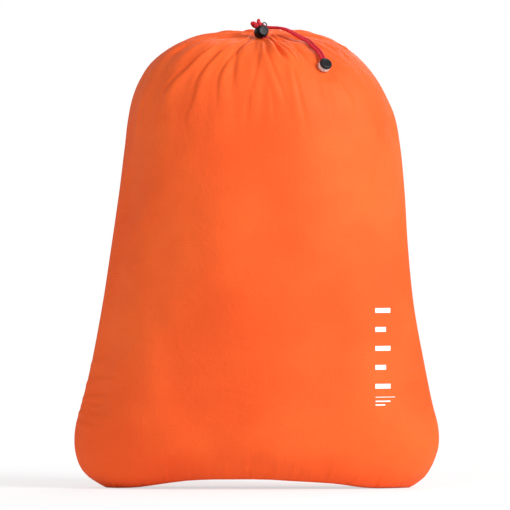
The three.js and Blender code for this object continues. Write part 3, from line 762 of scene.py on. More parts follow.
def cut_slab(ob, size, origin, axes, radius, shift=(0, 0, 0)):
    """Cuts a bar out of ob, its size along axes, the edges along its second axis rounded."""
    bm = bmesh.new()
    bmesh.ops.create_cube(bm, size=1.0)
    bmesh.ops.scale(bm, vec=size, verts=bm.verts)
    long_edges = [e for e in bm.edges
                  if abs((e.verts[0].co - e.verts[1].co).normalized().y) > 0.9]
    bmesh.ops.bevel(bm, geom=long_edges, offset=radius, segments=5, affect="EDGES",
                    profile=0.5)
    bmesh.ops.translate(bm, vec=shift, verts=bm.verts)
    place = Matrix([[*(axis[k] for axis in axes), origin[k]] for k in range(3)] + [[0, 0, 0, 1]])
    bm.transform(Matrix.Scale(MM, 4) @ place)
    bmesh.ops.recalc_face_normals(bm, faces=bm.faces)
    mesh = bpy.data.meshes.new("cutter")
    bm.to_mesh(mesh)
    bm.free()
    cutter = bpy.data.objects.new("cutter", mesh)
    bpy.context.scene.collection.objects.link(cutter)
    combine(ob, cutter, "DIFFERENCE")


def tidy(ob, angle=35):
    """Smooth faces with sharp edges kept, and clean geometry after a cut."""
    bm = bmesh.new()
    bm.from_mesh(ob.data)
    bmesh.ops.remove_doubles(bm, verts=bm.verts, dist=1e-6)
    bmesh.ops.dissolve_degenerate(bm, edges=bm.edges, dist=1e-6)
    bmesh.ops.recalc_face_normals(bm, faces=bm.faces)
    for f in bm.faces:
        f.smooth = True
    for e in bm.edges:
        e.smooth = not (len(e.link_faces) == 2 and e.calc_face_angle(0) > math.radians(angle))
    bm.to_mesh(ob.data)
    bm.free()
    ob.data.update()


# ------------------------------------------------------------------ materials
class Shader:
    """A node material round one Principled shader; colours are (r, g, b)."""

    def __init__(self, name):
        self.material = bpy.data.materials.new(name)
        self.material.use_nodes = True
        self.tree = self.material.node_tree
        self.tree.nodes.clear()
        self.out = self.node("OutputMaterial")
        self.principled = self.node("BsdfPrincipled")
        self.put(self.out.inputs[0], self.principled.outputs[0])

    def node(self, kind):
        return self.tree.nodes.new("ShaderNode" + kind)

    def put(self, socket, value):
        if isinstance(value, bpy.types.NodeSocket):
            self.tree.links.new(value, socket)
        else:
            socket.default_value = (*value, 1) if isinstance(value, tuple) else value

    def calc(self, operation, a, b=0.0):
        n = self.node("Math")
        n.operation = operation
        self.put(n.inputs[0], a)
        self.put(n.inputs[1], b)
        return n.outputs[0]

    def add(self, a, b):
        return self.calc("ADD", a, b)

    def sub(self, a, b):
        return self.calc("SUBTRACT", a, b)

    def mul(self, a, b):
        return self.calc("MULTIPLY", a, b)

    def off(self, x, centre):
        """Distance of x from centre."""
        return self.calc("ABSOLUTE", self.sub(x, centre))

    def ramp(self, x, start, end, low=0.0, high=1.0):
        n = self.node("MapRange")
        n.interpolation_type = "SMOOTHSTEP"
        for socket, value in zip(n.inputs[:5], (x, start, end, low, high)):
            self.put(socket, value)
        return n.outputs[0]

    def uv(self, name):
        n = self.node("UVMap")
        n.uv_map = name
        return n.outputs[0]

    def coords(self):
        return self.node("TexCoord").outputs["Object"]

    def xyz(self, vector):
        n = self.node("SeparateXYZ")
        self.put(n.inputs[0], vector)
        return n.outputs

    def uv_axes(self, uv):
        return self.xyz(uv)[0], self.xyz(uv)[1]

    def noise(self, vector, scale, detail=3.0, roughness=0.55, distortion=0.0):
        n = self.node("TexNoise")
        self.put(n.inputs["Vector"], vector)
        n.inputs["Scale"].default_value = scale
        n.inputs["Detail"].default_value = detail
        n.inputs["Roughness"].default_value = roughness
        n.inputs["Distortion"].default_value = distortion
        return n.outputs[0]

    def weave(self, u, v, pitch):
        """Plain weave: threads of one pitch both ways."""
        across, up = [self.calc("SINE", self.mul(x, TAU / pitch)) for x in (u, v)]
        return self.mul(across, up)

    def mix(self, factor, a, b):
        n = self.node("Mix")
        n.data_type = "RGBA"
        for i, value in ((0, factor), (6, a), (7, b)):
            self.put(n.inputs[i], value)
        return n.outputs[2]

    def mottle(self, colour, pattern, start, end, amount, other):
        """Mixes in other, up to amount, where pattern rises from start to end."""
        return self.mix(self.mul(self.ramp(pattern, start, end), amount), colour, other)

    def bump(self, height, distance, strength, under=None):
        n = self.node("Bump")
        n.inputs["Strength"].default_value = strength
        n.inputs["Distance"].default_value = distance
        self.put(n.inputs["Height"], height)
        if under is not None:
            self.put(n.inputs["Normal"], under)
        return n.outputs[0]

    def finish(self, **inputs):
        for key, value in inputs.items():
            self.put(self.principled.inputs[key.replace("_", " ")], value)
        return self.material


ORANGE = (0.88, 0.113, 0.0195)
RIPSTOP_PITCH = 0.0024       # metres
# the print near the right side of the front: five bars, alternately long and short, over
# three thin lines; x0, x1, z0, z1 in mm
PRINT_X, BAR_TOP_Z, BAR_PITCH, BAR_HIGH = 103.0, 154, 16.5, 4.2
PRINT = [(PRINT_X, PRINT_X + length, BAR_TOP_Z - BAR_PITCH * i, BAR_TOP_Z - BAR_PITCH * i + BAR_HIGH)
         for i, length in enumerate((13.5, 9.5, 13.5, 9.5, 13.5))]
PRINT += [(103.2, 120.4, 80.3, 80.9), (103.2, 116.4, 76.4, 77.6), (103.2, 111.8, 73.2, 74.4)]


def print_mask(n, fabric):
    """1 on the print, a little worn by the weave."""
    x, z = [n.mul(axis, 1000.0) for axis in n.uv_axes(n.uv("panel"))]
    soft = 0.12
    mask = None
    for x0, x1, z0, z1 in PRINT:
        outside_x = n.sub(n.off(x, (x0 + x1) / 2), (x1 - x0) / 2)
        outside_z = n.sub(n.off(z, (z0 + z1) / 2), (z1 - z0) / 2)
        outside = n.calc("MAXIMUM", outside_x, outside_z)
        shape = n.ramp(outside, -soft, soft, low=1.0, high=0.0)
        mask = shape if mask is None else n.calc("MAXIMUM", mask, shape)
    worn = n.noise(fabric, scale=2200.0, detail=2.0)
    return n.mul(mask, n.ramp(worn, start=0.18, end=0.34, low=0.82, high=1.0))


def ripstop(name, inside=False, printed=False):
    n = Shader(name)
    fabric = n.uv("fabric")
    u, v = n.uv_axes(fabric)

    def lines(x):
        part = n.calc("FRACT", n.calc("DIVIDE", x, RIPSTOP_PITCH))
        return n.ramp(n.off(part, 0.5), start=0.36, end=0.48)

    def crinkle(**noise):
        return n.off(n.noise(n.coords(), **noise), 0.5)
    grid = n.calc("MAXIMUM", lines(u), lines(v))
    fine = n.weave(u, v, pitch=0.00034)
    broad = n.noise(n.coords(), scale=9.0, detail=2.0, roughness=0.5)
    blotch = n.noise(n.coords(), scale=38.0, detail=3.0, roughness=0.55, distortion=0.4)
    thread = n.noise(fabric, scale=900.0, detail=2.0, roughness=0.6)
    small_crinkle = crinkle(scale=120.0, detail=4.0, roughness=0.62, distortion=0.9)
    large_crinkle = crinkle(scale=46.0, detail=3.0, roughness=0.6, distortion=1.4)

    def shade(*factors):
        base = 0.72 if inside else 1.0
        return tuple(c * base * k for c, k in zip(ORANGE, factors))
    dark, light = shade(0.86, 0.74, 0.72), shade(1.04, 1.18, 1.25)
    colour = n.mix(n.ramp(broad, start=0.34, end=0.66), shade(0.965, 0.90, 0.9), light)
    colour = n.mottle(colour, blotch, start=0.35, end=0.7, amount=0.16, other=dark)
    colour = n.mix(n.mul(grid, 0.15 if inside else 0.30), colour, dark)
    colour = n.mottle(colour, thread, start=0.45, end=0.75, amount=0.10, other=light)
    # roughness: a base, varied by the blotches, lower on the ripstop grid
    rough = n.add(0.62 if inside else 0.56, n.mul(n.sub(blotch, 0.5), 0.18))
    rough = n.sub(rough, n.mul(grid, 0.05))
    # the grid stands higher than the weave
    height = n.add(n.mul(grid, 0.55), n.mul(fine, 0.12))
    normal = n.bump(height, distance=0.00012, strength=0.6)
    normal = n.bump(small_crinkle, distance=0.0016, strength=0.30, under=normal)
    normal = n.bump(large_crinkle, distance=0.0030, strength=0.22, under=normal)
    if printed:
        ink = (0.90, 0.86, 0.84)
        mask = print_mask(n, fabric)
        colour = n.mix(mask, colour, ink)
        rough = n.add(rough, n.mul(mask, 0.12))      # the ink is rougher
        normal = n.bump(mask, distance=0.00006, strength=0.5, under=normal)
    return n.finish(Base_Color=colour, Roughness=rough, Normal=normal, Sheen_Weight=0.02,
                    Sheen_Roughness=0.5, Sheen_Tint=(1.0, 0.40, 0.20), Specular_IOR_Level=0.13)


def cord_material(name):
    n = Shader(name)
    u, v = n.uv_axes(n.uv("cord"))
    around, along = 12.0, TAU * 4.2              # how closely the braid's strands cross
    rising, falling = [n.calc("SINE", n.calc(way, n.mul(u, around), n.mul(v, along)))
                       for way in ("ADD", "SUBTRACT")]
    braid = n.mul(rising, falling)
    fuzz = n.noise(n.coords(), scale=2600.0, detail=3.0, roughness=0.6)
    tone = n.noise(n.coords(), scale=220.0, detail=2.0, roughness=0.5)
    # painted shade: the braid's grooves are darkened to a deep red, while the crests keep the cord's
    # own red
    colour = n.mix(n.ramp(braid, start=-0.7, end=0.8), (0.42, 0.007, 0.018),
                   (0.80, 0.018, 0.040))
    colour = n.mottle(colour, fuzz, start=0.5, end=0.8, amount=0.30, other=(0.90, 0.07, 0.10))
    colour = n.mottle(colour, tone, start=0.4, end=0.7, amount=0.3, other=(0.42, 0.010, 0.026))
    # bump height: mostly braid, then fuzz
    height = n.add(n.mul(braid, 0.5), n.mul(fuzz, 0.4))
    return n.finish(Base_Color=colour, Roughness=n.add(0.55, n.mul(fuzz, 0.2)),
                    Normal=n.bump(height, distance=0.00022, strength=0.8), Sheen_Weight=0.12,
                    Specular_IOR_Level=0.3, Sheen_Roughness=0.35, Sheen_Tint=(1, 0.5, 0.5))


def black_material(name, brightness=1.0, roughness=0.34):
    n = Shader(name)
    grain = n.noise(n.coords(), scale=2400.0, detail=3.0, roughness=0.6)
    scuff = n.noise(n.coords(), scale=420.0, detail=5.0, roughness=0.7, distortion=1.2)
    plain, scuffed = [tuple(c * brightness for c in colour)
                      for colour in ((0.0055, 0.0055, 0.0065), (0.022, 0.022, 0.026))]
    colour = n.mottle(plain, scuff, start=0.52, end=0.78, amount=0.4, other=scuffed)
    normal = n.bump(grain, distance=0.00008, strength=0.5)
    normal = n.bump(scuff, distance=0.00010, strength=0.3, under=normal)
    # the scuffs vary the roughness
    rough = n.add(roughness, n.mul(n.sub(scuff, 0.4), 0.45))
    return n.finish(Base_Color=colour, Roughness=rough, Normal=normal, Specular_IOR_Level=0.20)


def clear_material(name):
    n = Shader(name)
    cloud = n.noise(n.coords(), scale=300.0, detail=3.0, roughness=0.5)
    flow = n.noise(n.coords(), scale=900.0, detail=4.0, roughness=0.6, distortion=1.0)
    colour = n.mix(n.ramp(cloud, start=0.3, end=0.7), (0.80, 0.76, 0.75), (0.90, 0.87, 0.86))
    return n.finish(Base_Color=colour, Roughness=n.add(0.16, n.mul(cloud, 0.16)),
                    Normal=n.bump(flow, distance=0.00006, strength=0.4),
                    Transmission_Weight=0.45, IOR=1.46, Specular_IOR_Level=0.6)


def steel_material(name):
    n = Shader(name)
    drawn = n.noise(n.coords(), scale=1800.0, detail=3.0, roughness=0.6)
    colour = n.mix(n.ramp(drawn, start=0.35, end=0.7), (0.42, 0.43, 0.45), (0.66, 0.67, 0.69))
    return n.finish(Base_Color=colour, Metallic=1.0, Roughness=n.add(0.2, n.mul(drawn, 0.2)),
                    Normal=n.bump(drawn, distance=0.00003, strength=0.5))


def woven_material(name, pitch, colours, tone_scale, tone_amount, rough, rough_spread,
                   bump_distance, bump_strength, sheen):
    """Woven tape; colours are between threads (painted shade in the gaps), on threads, and of the
    patches of tone.
    """
    n = Shader(name)
    u, v = n.uv_axes(n.uv("fabric"))
    weave = n.weave(u, v, pitch)
    tone = n.noise(n.coords(), scale=tone_scale, detail=3.0, roughness=0.5)
    low, high, patch = colours
    # painted shade: the gaps between threads take the darker first colour
    colour = n.mix(n.ramp(weave, start=-0.8, end=0.8), low, high)
    colour = n.mottle(colour, tone, start=0.4, end=0.7, amount=tone_amount, other=patch)
    return n.finish(Base_Color=colour, Roughness=n.add(rough, n.mul(tone, rough_spread)),
                    Normal=n.bump(weave, bump_distance, bump_strength), Sheen_Weight=sheen)


# the first colour is painted shade between threads; then come the threads' own colour and the
# patches of tone
TAPE = dict(pitch=0.0006, colours=((0.46, 0.05, 0.012), (0.62, 0.085, 0.02), (0.40, 0.04, 0.01)),
            tone_scale=60.0, tone_amount=0.3, rough=0.66, rough_spread=0.15,
            bump_distance=0.0001, bump_strength=0.6, sheen=0.15)
LABEL = dict(pitch=0.0005, colours=((0.74, 0.74, 0.72), (0.88, 0.88, 0.86), (0.70, 0.69, 0.66)),
             tone_scale=90.0, tone_amount=0.25, rough=0.7, rough_spread=0.1,
             bump_distance=0.00008, bump_strength=0.5, sheen=0.1)
M_FRONT = ripstop("ripstop_cloth_front", printed=True)
M_CLOTH = ripstop("ripstop_cloth")
M_INSIDE = ripstop("ripstop_cloth_inside", inside=True)
M_CORD = cord_material("red_cord")
M_BLACK = black_material("black_plastic")
M_CAP = black_material("black_plastic_cap", brightness=1.9, roughness=0.30)
M_CLEAR = clear_material("clear_plastic")
M_STEEL = steel_material("spring_steel")
M_TAPE = woven_material("seam_tape", **TAPE)
M_LABEL = woven_material("label_cloth", **LABEL)
M_THREAD = woven_material("seam_thread", **TAPE)

# ------------------------------------------------------------------ the four cloth quarters
THICK = 0.34
cloth_out = grid_normals(cloth)
lining = cloth - cloth_out * THICK
lining[..., 2] = np.maximum(lining[..., 2], 0.05 + THICK * (level_grid < 3.5))
lining[0, :, 1] = 0.0
lining[:, seam_columns, 1] = 0.0
lining[:, mid_columns, 0] += upper * (MID_X + SHIFT[0] - lining[:, mid_columns, 0])


def across_panel(first):
    """Cloth coordinate across a half of the sack, from its middle column; fixed higher up."""
    half = skin[:, np.arange(first, first + HALF + 1) % COLUMNS]
    widths = np.linalg.norm(np.diff(half, axis=1), axis=2)
    across = np.concatenate([np.zeros((ROWS, 1)), np.cumsum(widths, axis=1)], 1)
    across = across - across[:, [across.shape[1] // 2]]
    fixed_row = int(np.argmin(np.abs(levels - 16)))
    across[fixed_row + 1:] = across[fixed_row]
    return across


def quarter_shell(name, first, materials, across):
    """A quarter of the cloth from column first, with thickness and the whole cloth's normals."""
    width = QUARTER + 1
    cols = np.arange(first, first + width) % COLUMNS
    outside, inside = cloth[:, cols], lining[:, cols]
    verts = np.concatenate([outside.reshape(-1, 3), inside.reshape(-1, 3)]) * MM
    quads, rim = sheet_faces(ROWS, width)
    faces = np.concatenate([quads, quads[:, ::-1] + ROWS * width, rim])
    face_material = np.concatenate([np.zeros(len(quads)), np.ones(len(quads)),
                                    np.zeros(len(rim))])
    up = np.repeat(front_arc[:, None], width, 1)
    fabric = np.stack([across * MM, up * MM], -1).reshape(-1, 2)
    panel = (outside[..., [0, 2]] * MM).reshape(-1, 2)
    uvs = {"fabric": np.concatenate([fabric, fabric]), "panel": np.concatenate([panel, panel])}
    ob = new_mesh(name, verts, faces, uvs, materials, face_material)
    normals = cloth_out[:, cols].reshape(-1, 3)
    ob.data.normals_split_custom_set_from_vertices(np.concatenate([normals, -normals]).tolist())
    return ob


def fold(ob):
    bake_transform(ob)


# sign is 1 on the front and -1 on the back, hand 1 on the right and -1 on the left
for face, sign, outer, halves in (("front", 1, M_FRONT, (("left", -1), ("right", 1))),
                                  ("back", -1, M_CLOTH, (("right", 1), ("left", -1)))):
    first = HALF if sign > 0 else 0
    across = across_panel(first)
    for i, (word, hand) in enumerate(halves):
        part = across[:, QUARTER:] if i else across[:, :QUARTER + 1]
        ob = quarter_shell(f"{face}_cloth_{word}", first + i * QUARTER, [outer, M_INSIDE], part)
        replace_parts(ob, face + "_panel", face + "_gather")
        fold(ob)


def end_blend(ob):
    """Bakes a ring piece's placement into its mesh."""
    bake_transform(ob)


# ------------------------------------------------------------------ the gathered drawcord channel
def channel(name, start, end, sign):
    """Half of the channel round the neck, from angle start to end, with gathered folds."""
    rings, sides = 260, 40
    t = np.linspace(math.radians(start), math.radians(end), rings)
    around = np.arange(sides) * TAU / sides
    folds = gather(t, 22, 3)
    fine = gather(t, 44, 5)
    t, around = np.meshgrid(t, around, indexing="ij")
    radius = (HEM_R + 0.1 + (folds * 1.25)[:, None] * (0.75 + 0.25 * np.cos(around))
              + (fine * 0.4)[:, None])
    if sign > 0:        # pressed down at the slit
        from_slit = np.mod(around - math.radians(80) + math.pi, TAU) - math.pi
        radius = radius * (1 - 0.30 * (bell(t - 1.5 * math.pi, 0.24, 4)
                                       * bell(from_slit, 0.6, 4)))
    inward = np.maximum(0, -np.cos(around)) ** 1.5
    inner = 1 + (0.62 + 0.45 * (folds + 0.2))[:, None] * inward
    reach = NECK_R + radius * np.cos(around) * 0.94 * inner
    x = NECK_X + reach * np.cos(t)
    y = reach * np.sin(t)
    z = NECK_Z + NECK_TILT * NECK_R * np.sin(t) + radius * np.sin(around) * 1.05
    y[0], y[-1] = 0, 0
    grid = np.stack([x, y, z], -1) + SHIFT
    verts = np.concatenate([grid.reshape(-1, 3), grid[0].mean(0, keepdims=True),
                            grid[-1].mean(0, keepdims=True)])
    uv = np.stack([t * 60 * MM, around * 5 * MM], -1).reshape(-1, 2)
    uv = np.concatenate([uv, uv[:1], uv[-1:]])
    ob = new_mesh(name, verts * MM, tube_faces(rings, sides, flip=True), {"fabric": uv},
                  [M_CLOTH])
    end_blend(ob)
    return ob


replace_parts(channel("front_channel", 180, 360, 1), "front_hem")
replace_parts(channel("back_channel", 0, 180, -1), "back_hem")

# stitched slit where the two cord strands leave the channel
SLIT_C = np.array([NECK_X, -NECK_R - 0.9, NECK_Z - NECK_TILT * NECK_R + HEM_R - 0.2])
slit_line = [SLIT_C + np.array([4.3 * math.cos(a), 1.9 * math.sin(a), -0.5 * abs(math.cos(a))])
             for a in np.linspace(0, TAU, 25)]
slit = tube("channel_slit_stitching", slit_line, 0.45, 10, 0.35, M_THREAD, braid=0.25)
slit.data.uv_layers[0].name = "fabric"
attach(slit, "front_mouth")


# ------------------------------------------------------------------ seam allowances and label
def strip(name, outer, inner, node):
    """A strip of doubled cloth along a seam, with two lines of stitching pressed into it."""
    count, width = len(outer), 15
    t = np.linspace(0, 1, width)
    mid = outer[:, None, :] * (1 - t)[None, :, None] + inner[:, None, :] * t[None, :, None]
    run = arc_length(outer)
    wave = (0.5 * np.sin(run / 5.3)[:, None] * smooth(0.2, 1, t)[None, :]
            + 0.25 * np.sin(run / 2.1 + 1)[:, None] * smooth(0.5, 1, t)[None, :])
    seams = bell(t - 0.25, 0.05) + bell(t - 0.65, 0.05)
    stitches = 0.6 + 0.4 * np.sign(np.sin(run * TAU / 2.6))
    half_thick = 0.42 - 0.16 * seams[None, :] * stitches[:, None]
    half_thick[:, 0] = half_thick[:, -1] = 0.16
    across_y = np.array([0, 1.0, 0])
    verts = np.concatenate([(mid + (wave + k * half_thick)[..., None] * across_y).reshape(-1, 3)
                            for k in (1, -1)]) * MM
    quads, rim = sheet_faces(count, width)
    back = quads[:, ::-1]
    if np.cross(mid[0, -1] - mid[0, 0], mid[1, 0] - mid[0, 0])[1] <= 0:
        quads, back, rim = back, quads, rim[:, ::-1]
    uv = np.stack([np.repeat(run[:, None], width, 1) * MM,
                   np.repeat((t * 7)[None, :], count, 0) * MM], -1).reshape(-1, 2)
    ob = new_mesh(name, verts, np.concatenate([quads, back + count * width, rim]),
                  {"fabric": np.concatenate([uv, uv])}, [M_TAPE])
    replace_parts(ob, node)
    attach(ob, "sack")


for word, hand, angle in (("left", -1, math.pi), ("right", 1, 0.0)):
    level = np.linspace(8.2, 21.4, 420)
    edge = surface(level, angle)
    tangent = unit(surface(level + 0.05, angle) - edge)
    inward = np.stack([-tangent[:, 2], np.zeros(len(tangent)), tangent[:, 0]], -1)
    inward[inward[:, 0] * hand > 0] *= -1
    strip(word + "_seam_allowance", edge + inward * 2.2 + SHIFT, edge + inward * 9.2 + SHIFT,
          word + "_side_seam")
x = np.linspace(-122, 122, 300)
base_edge = np.stack([x, 0 * x, base_height(x) + 2.1], -1) + SHIFT
strip("bottom_seam_allowance", base_edge, base_edge + np.array([0, 0, 7.0]), "bottom_seam")


def care_label():
    """A softly curved cloth tab, thicker along a line just inside its edge."""
    low, high = [np.array(corner) * 1000 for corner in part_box("care_label")]
    count, width = 34, 26
    u, v = np.meshgrid(np.linspace(0, 1, width), np.linspace(0, 1, count))
    x = low[0] + (high[0] - low[0]) * u
    z = low[2] + (high[2] - low[2]) * v
    y = 0.9 * np.sin(u * 2.6) * (0.4 + 0.6 * np.sin(v * 2.2)) + 0.25 * np.sin(v * 9)
    edge = np.minimum(np.minimum(u, 1 - u) * 26, np.minimum(v, 1 - v) * 38)
    half_thick = np.where(edge <= 0, 0.12, 0.24 + 0.10 * bell(edge - 0.9, 0.5))
    verts = np.concatenate([np.stack([x, y + k * half_thick, z], -1).reshape(-1, 3)
                            for k in (1, -1)]) * MM
    quads, rim = sheet_faces(count, width)
    quads, rim = quads[:, [0, 3, 2, 1]], rim[:, [1, 0, 3, 2]]
    uv = np.stack([u * 0.026, v * 0.038], -1).reshape(-1, 2)
    ob = new_mesh("care_label_tab", verts,
                  np.concatenate([quads, quads[:, ::-1] + count * width, rim]),
                  {"fabric": np.concatenate([uv, uv])}, [M_LABEL])
    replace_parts(ob, "care_label")
    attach(ob, "sack")


care_label()


# ------------------------------------------------------------------ cords
def neck_point(degrees):
    t = math.radians(degrees)
    y = NECK_R * math.sin(t)
    return np.array([NECK_X + NECK_R * math.cos(t), y, NECK_Z + NECK_TILT * y])


def in_lock(w, h, s):
    return LOCK_C + LOCK_W * w + LOCK_H * h + LOCK_S * s


# by strand, 1 left and -1 right: angles round the neck, and the loop from lock to tail
RING = {1: [183, 200, 218, 236, 252], -1: [357, 340, 322, 304, 288]}
LOOP = {1: [in_lock(0, 7.6, 1.4), in_lock(-0.5, 9.9, 2.8), in_lock(-2.6, 10.4, 3.6),
            in_lock(-4.8, 8.4, 2.6), (-1.6, -19.4, 404.5), (2.6, -17.2, 404.1)],
        -1: [in_lock(0, 7.6, -1.4), in_lock(-0.5, 9.9, -2.6), in_lock(-2.4, 10.2, -3.2),
             in_lock(-4.4, 8.6, -3.0), (2.4, -18.2, 407.8), (4.8, -14.9, 406.4)]}
FINE_STEP = 0.25


def strand(k):
    """Centre line of a strand up to the tail, and its points on the tail."""
    points = [neck_point(d) for d in RING[k]]
    points += [np.array([NECK_X - k * 1.6, -13.9, 387.9]),
               np.array([NECK_X - k * 1.65 + 0.3, -15.6, 390.9]),
               in_lock(2.6, -8.6, 1.85 * k) + np.array([0.2, 5.2, 0.25]),
               in_lock(0.2, -7.6, 1.62 * k)]
    points += [in_lock(0, h, 1.4 * k) for h in (-5, 0, 5)]
    points += [np.asarray(p, float) for p in LOOP[k]]
    return points, [np.array(p) + unit(way) * -k * PITCH for p, way in TAIL]


def cord_pieces(k, word):
    """A strand in four pieces, one after another along it."""
    lead, tail = strand(k)
    dense = centripetal(np.array(lead + tail), FINE_STEP)

    def nearest(point):
        return int(((dense - point) ** 2).sum(1).argmin())
    # the pieces meet halfway between these stations and the next
    cuts = [0] + [nearest(0.5 * (tail[i] + tail[i + 1])) for i in (2, 5, 9)] + [len(dense) - 1]
    pieces = []
    for j, part in enumerate(("lock", "bend_1", "bend_2", "end")):
        last = j == 3
        line = dense[cuts[j]:cuts[j + 1] + 1]
        if not last:        # runs on a little into the next piece
            line = np.concatenate([line, [line[-1] + unit(line[-1] - line[-2]) * FINE_STEP]])
        ob = tube(f"cord_{word}_{part}", line[::2] if len(line) > 8 else line, CORD_SKIN_R, 20,
                  0.42, M_CORD, braid=0.045, run_from=cuts[j] * FINE_STEP,
                  cap=0.3 if last else 0.0)
        pieces.append(ob)
    end_blend(pieces[0])
    last_joint = tail[10] + (tail[11] - tail[10]) * 0.7
    for ob, body, next_body, at, span in (
            (pieces[1], "front_mouth", "tail_upper", tail[UPPER_JOINT], 5.0),
            (pieces[2], "tail_upper", "tail_lower", tail[LOWER_JOINT], 5.0),
            (pieces[3], "tail_lower", "cord_end", last_joint, 2.6)):
        i = nearest(at)
        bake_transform(ob)
    return pieces


strands = {"left": cord_pieces(1, "left"), "right": cord_pieces(-1, "right")}
for word, pieces in strands.items():
    for ob, node in zip(pieces, ("cord_strand_", "tail_upper_", "tail_lower_")):
        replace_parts(ob, node + word)
back_cord = tube("cord_in_back_channel", [neck_point(4 + 172 * i / 12) for i in range(13)],
                 CORD_SKIN_R, 16, 0.6, M_CORD, braid=0.045)
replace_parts(back_cord, "drawcord_back")
end_blend(back_cord)

# ------------------------------------------------------------------ cord lock
LOCK_AXES = (LOCK_S, -LOCK_H, LOCK_W)
BARREL_R, BORE_R = 5.6, 4.35
WINDOW_WIDE, WINDOW_LONG = 5.7, 30


def grip(angle, radius, z):
    """Shallow flutes round the barrel."""
    if radius > 5.2 and -4.6 < z < 1.2:
        return 1 - 0.022 * (0.5 + 0.5 * math.cos(10 * angle)) ** 3
    return 1


def lock_barrel():
    """A cup open towards the button, with an eye on its side and a slot for the cords."""
    profile = [(0, -6.3), (4.0, -6.3), (5.2, -5.4)]
    profile += [(BARREL_R, z) for z in (-4.1, -3.2, -2.2, -1.2, -0.4, 0.4, 1.3)]
    profile += [(4.9, 2.2), (BORE_R, 2.2), (BORE_R, -5.2), (0, -5.2)]
    barrel = lathe("cord_lock_body", rounded(profile, 0.4), LOCK_C, LOCK_AXES, 80, [M_BLACK],
                   grip)
    eye_way = unit(LOCK_H * 0.6 - LOCK_S * 0.8)
    eye = torus("eye", LOCK_C + eye_way * 7.1 - LOCK_W * 0.6, LOCK_AXES, 2.0, 0.5, M_BLACK)
    room = lathe("room", [(0, -4.0), (4.4, -4.0), (4.4, 3.0), (0, 3.0)], LOCK_C, LOCK_AXES, 64)
    combine(eye, room, "DIFFERENCE")
    combine(barrel, eye, "UNION")
    cut_slab(barrel, (WINDOW_WIDE, WINDOW_LONG, 3.0), LOCK_C, LOCK_AXES, radius=1.2)
    return barrel


def lock_plunger():
    """The button and its stem, with a window for the cords."""
    profile = [(0, -2.6), (3.7, -2.6), (4.1, -2.2), (4.1, 4.3), (4.7, 4.5), (4.7, 5.0),
               (3.9, 5.7), (2.6, 5.55), (0, 5.45)]
    plunger = lathe("cord_lock_button", rounded(profile, 0.3), LOCK_C, LOCK_AXES, 72, [M_BLACK])
    below, above = 1.42, CORD_R + 0.12 + 1.7
    cut_slab(plunger, (WINDOW_WIDE, WINDOW_LONG, below + above), LOCK_C, LOCK_AXES, radius=1.0,
             shift=(0, 0, (above - below) / 2))
    return plunger


def lock_spring():
    """Two and a half turns between the barrel's floor and the plunger."""
    radius, turns, foot, top = 3.1, 2.5, -4.82, -2.98
    coil = []
    for i in range(121):
        a = TAU * turns * i / 120
        coil.append(LOCK_C + LOCK_S * (radius * math.cos(a)) - LOCK_H * (radius * math.sin(a))
                    + LOCK_W * (foot + (top - foot) * i / 120))
    return tube("cord_lock_coil", coil, 0.26, 12, 0.3, M_STEEL)


barrel, plunger, spring = lock_barrel(), lock_plunger(), lock_spring()
for ob, node, body in ((barrel, "cord_lock_barrel", "cord_lock"),
                       (plunger, "cord_lock_plunger", "lock_button")):
    tidy(ob)
    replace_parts(ob, node)
    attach(ob, body)
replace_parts(spring, "cord_lock_spring")
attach(spring, "cord_lock")
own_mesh(spring)

# ------------------------------------------------------------------ cord end
END_AXES = (END_U, unit(np.cross(END_N, END_U)), END_N)
CUP_R, CUP_BORE_R, CUP_FLOOR, CUP_TOP = 5.5, 4.5, 0.7, 4.4


def cup():
    """A clear cup with an opening on its upper side."""
    profile = [(0, 0), (4.9, 0), (CUP_R, CUP_FLOOR), (CUP_R, CUP_TOP), (CUP_BORE_R, CUP_TOP),
               (CUP_BORE_R, CUP_FLOOR), (0, CUP_FLOOR)]
    ob = lathe("cord_end_cup", rounded(profile, 0.3), END_O, END_AXES, 80, [M_CLEAR])
    cut_slab(ob, (5, 6.4, 4.4), END_O, END_AXES, radius=0.1, shift=(CUP_R, 0, CUP_FLOOR + 2.2))
    return ob


def lid():
    profile = [(0, 4.65), (CUP_R, 4.65), (5.55, 5.4), (CUP_R, 6.3), (4.9, 7.1), (4.0, 7.3),
               (3.6, 7.05), (0, 6.95)]
    return lathe("cord_end_lid", rounded(profile, 0.3), END_O, END_AXES, 80, [M_CAP])


def knot():
    """A trefoil of cord inside the cup."""
    ax, ay, az = END_AXES
    line = []
    for a in np.linspace(0, TAU, 97)[:-1]:
        x = math.sin(a) + 2 * math.sin(2 * a)
        y = math.cos(a) - 2 * math.cos(2 * a)
        z = -math.sin(3 * a)
        line.append(END_O + ax * (x * 0.44 - 0.4) + ay * (y * 0.52) + az * (2.5 + z * 0.5))
    line.append(line[0])
    return tube("cord_end_knot", line, 0.72, 14, 0.3, M_CORD, braid=0.05, cap=0.0)


for build, node, slot, turned in ((cup, "cord_end_base", "clear_plastic", True),
                                  (lid, "cord_end_cap", "black_plastic", True),
                                  (knot, "cord_knot", "red_cord", False)):
    ob = build()
    if turned:
        tidy(ob)
    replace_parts(ob, node)
    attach(ob, "cord_end")

# ------------------------------------------------------------------ floor, light, camera
scene = bpy.context.scene


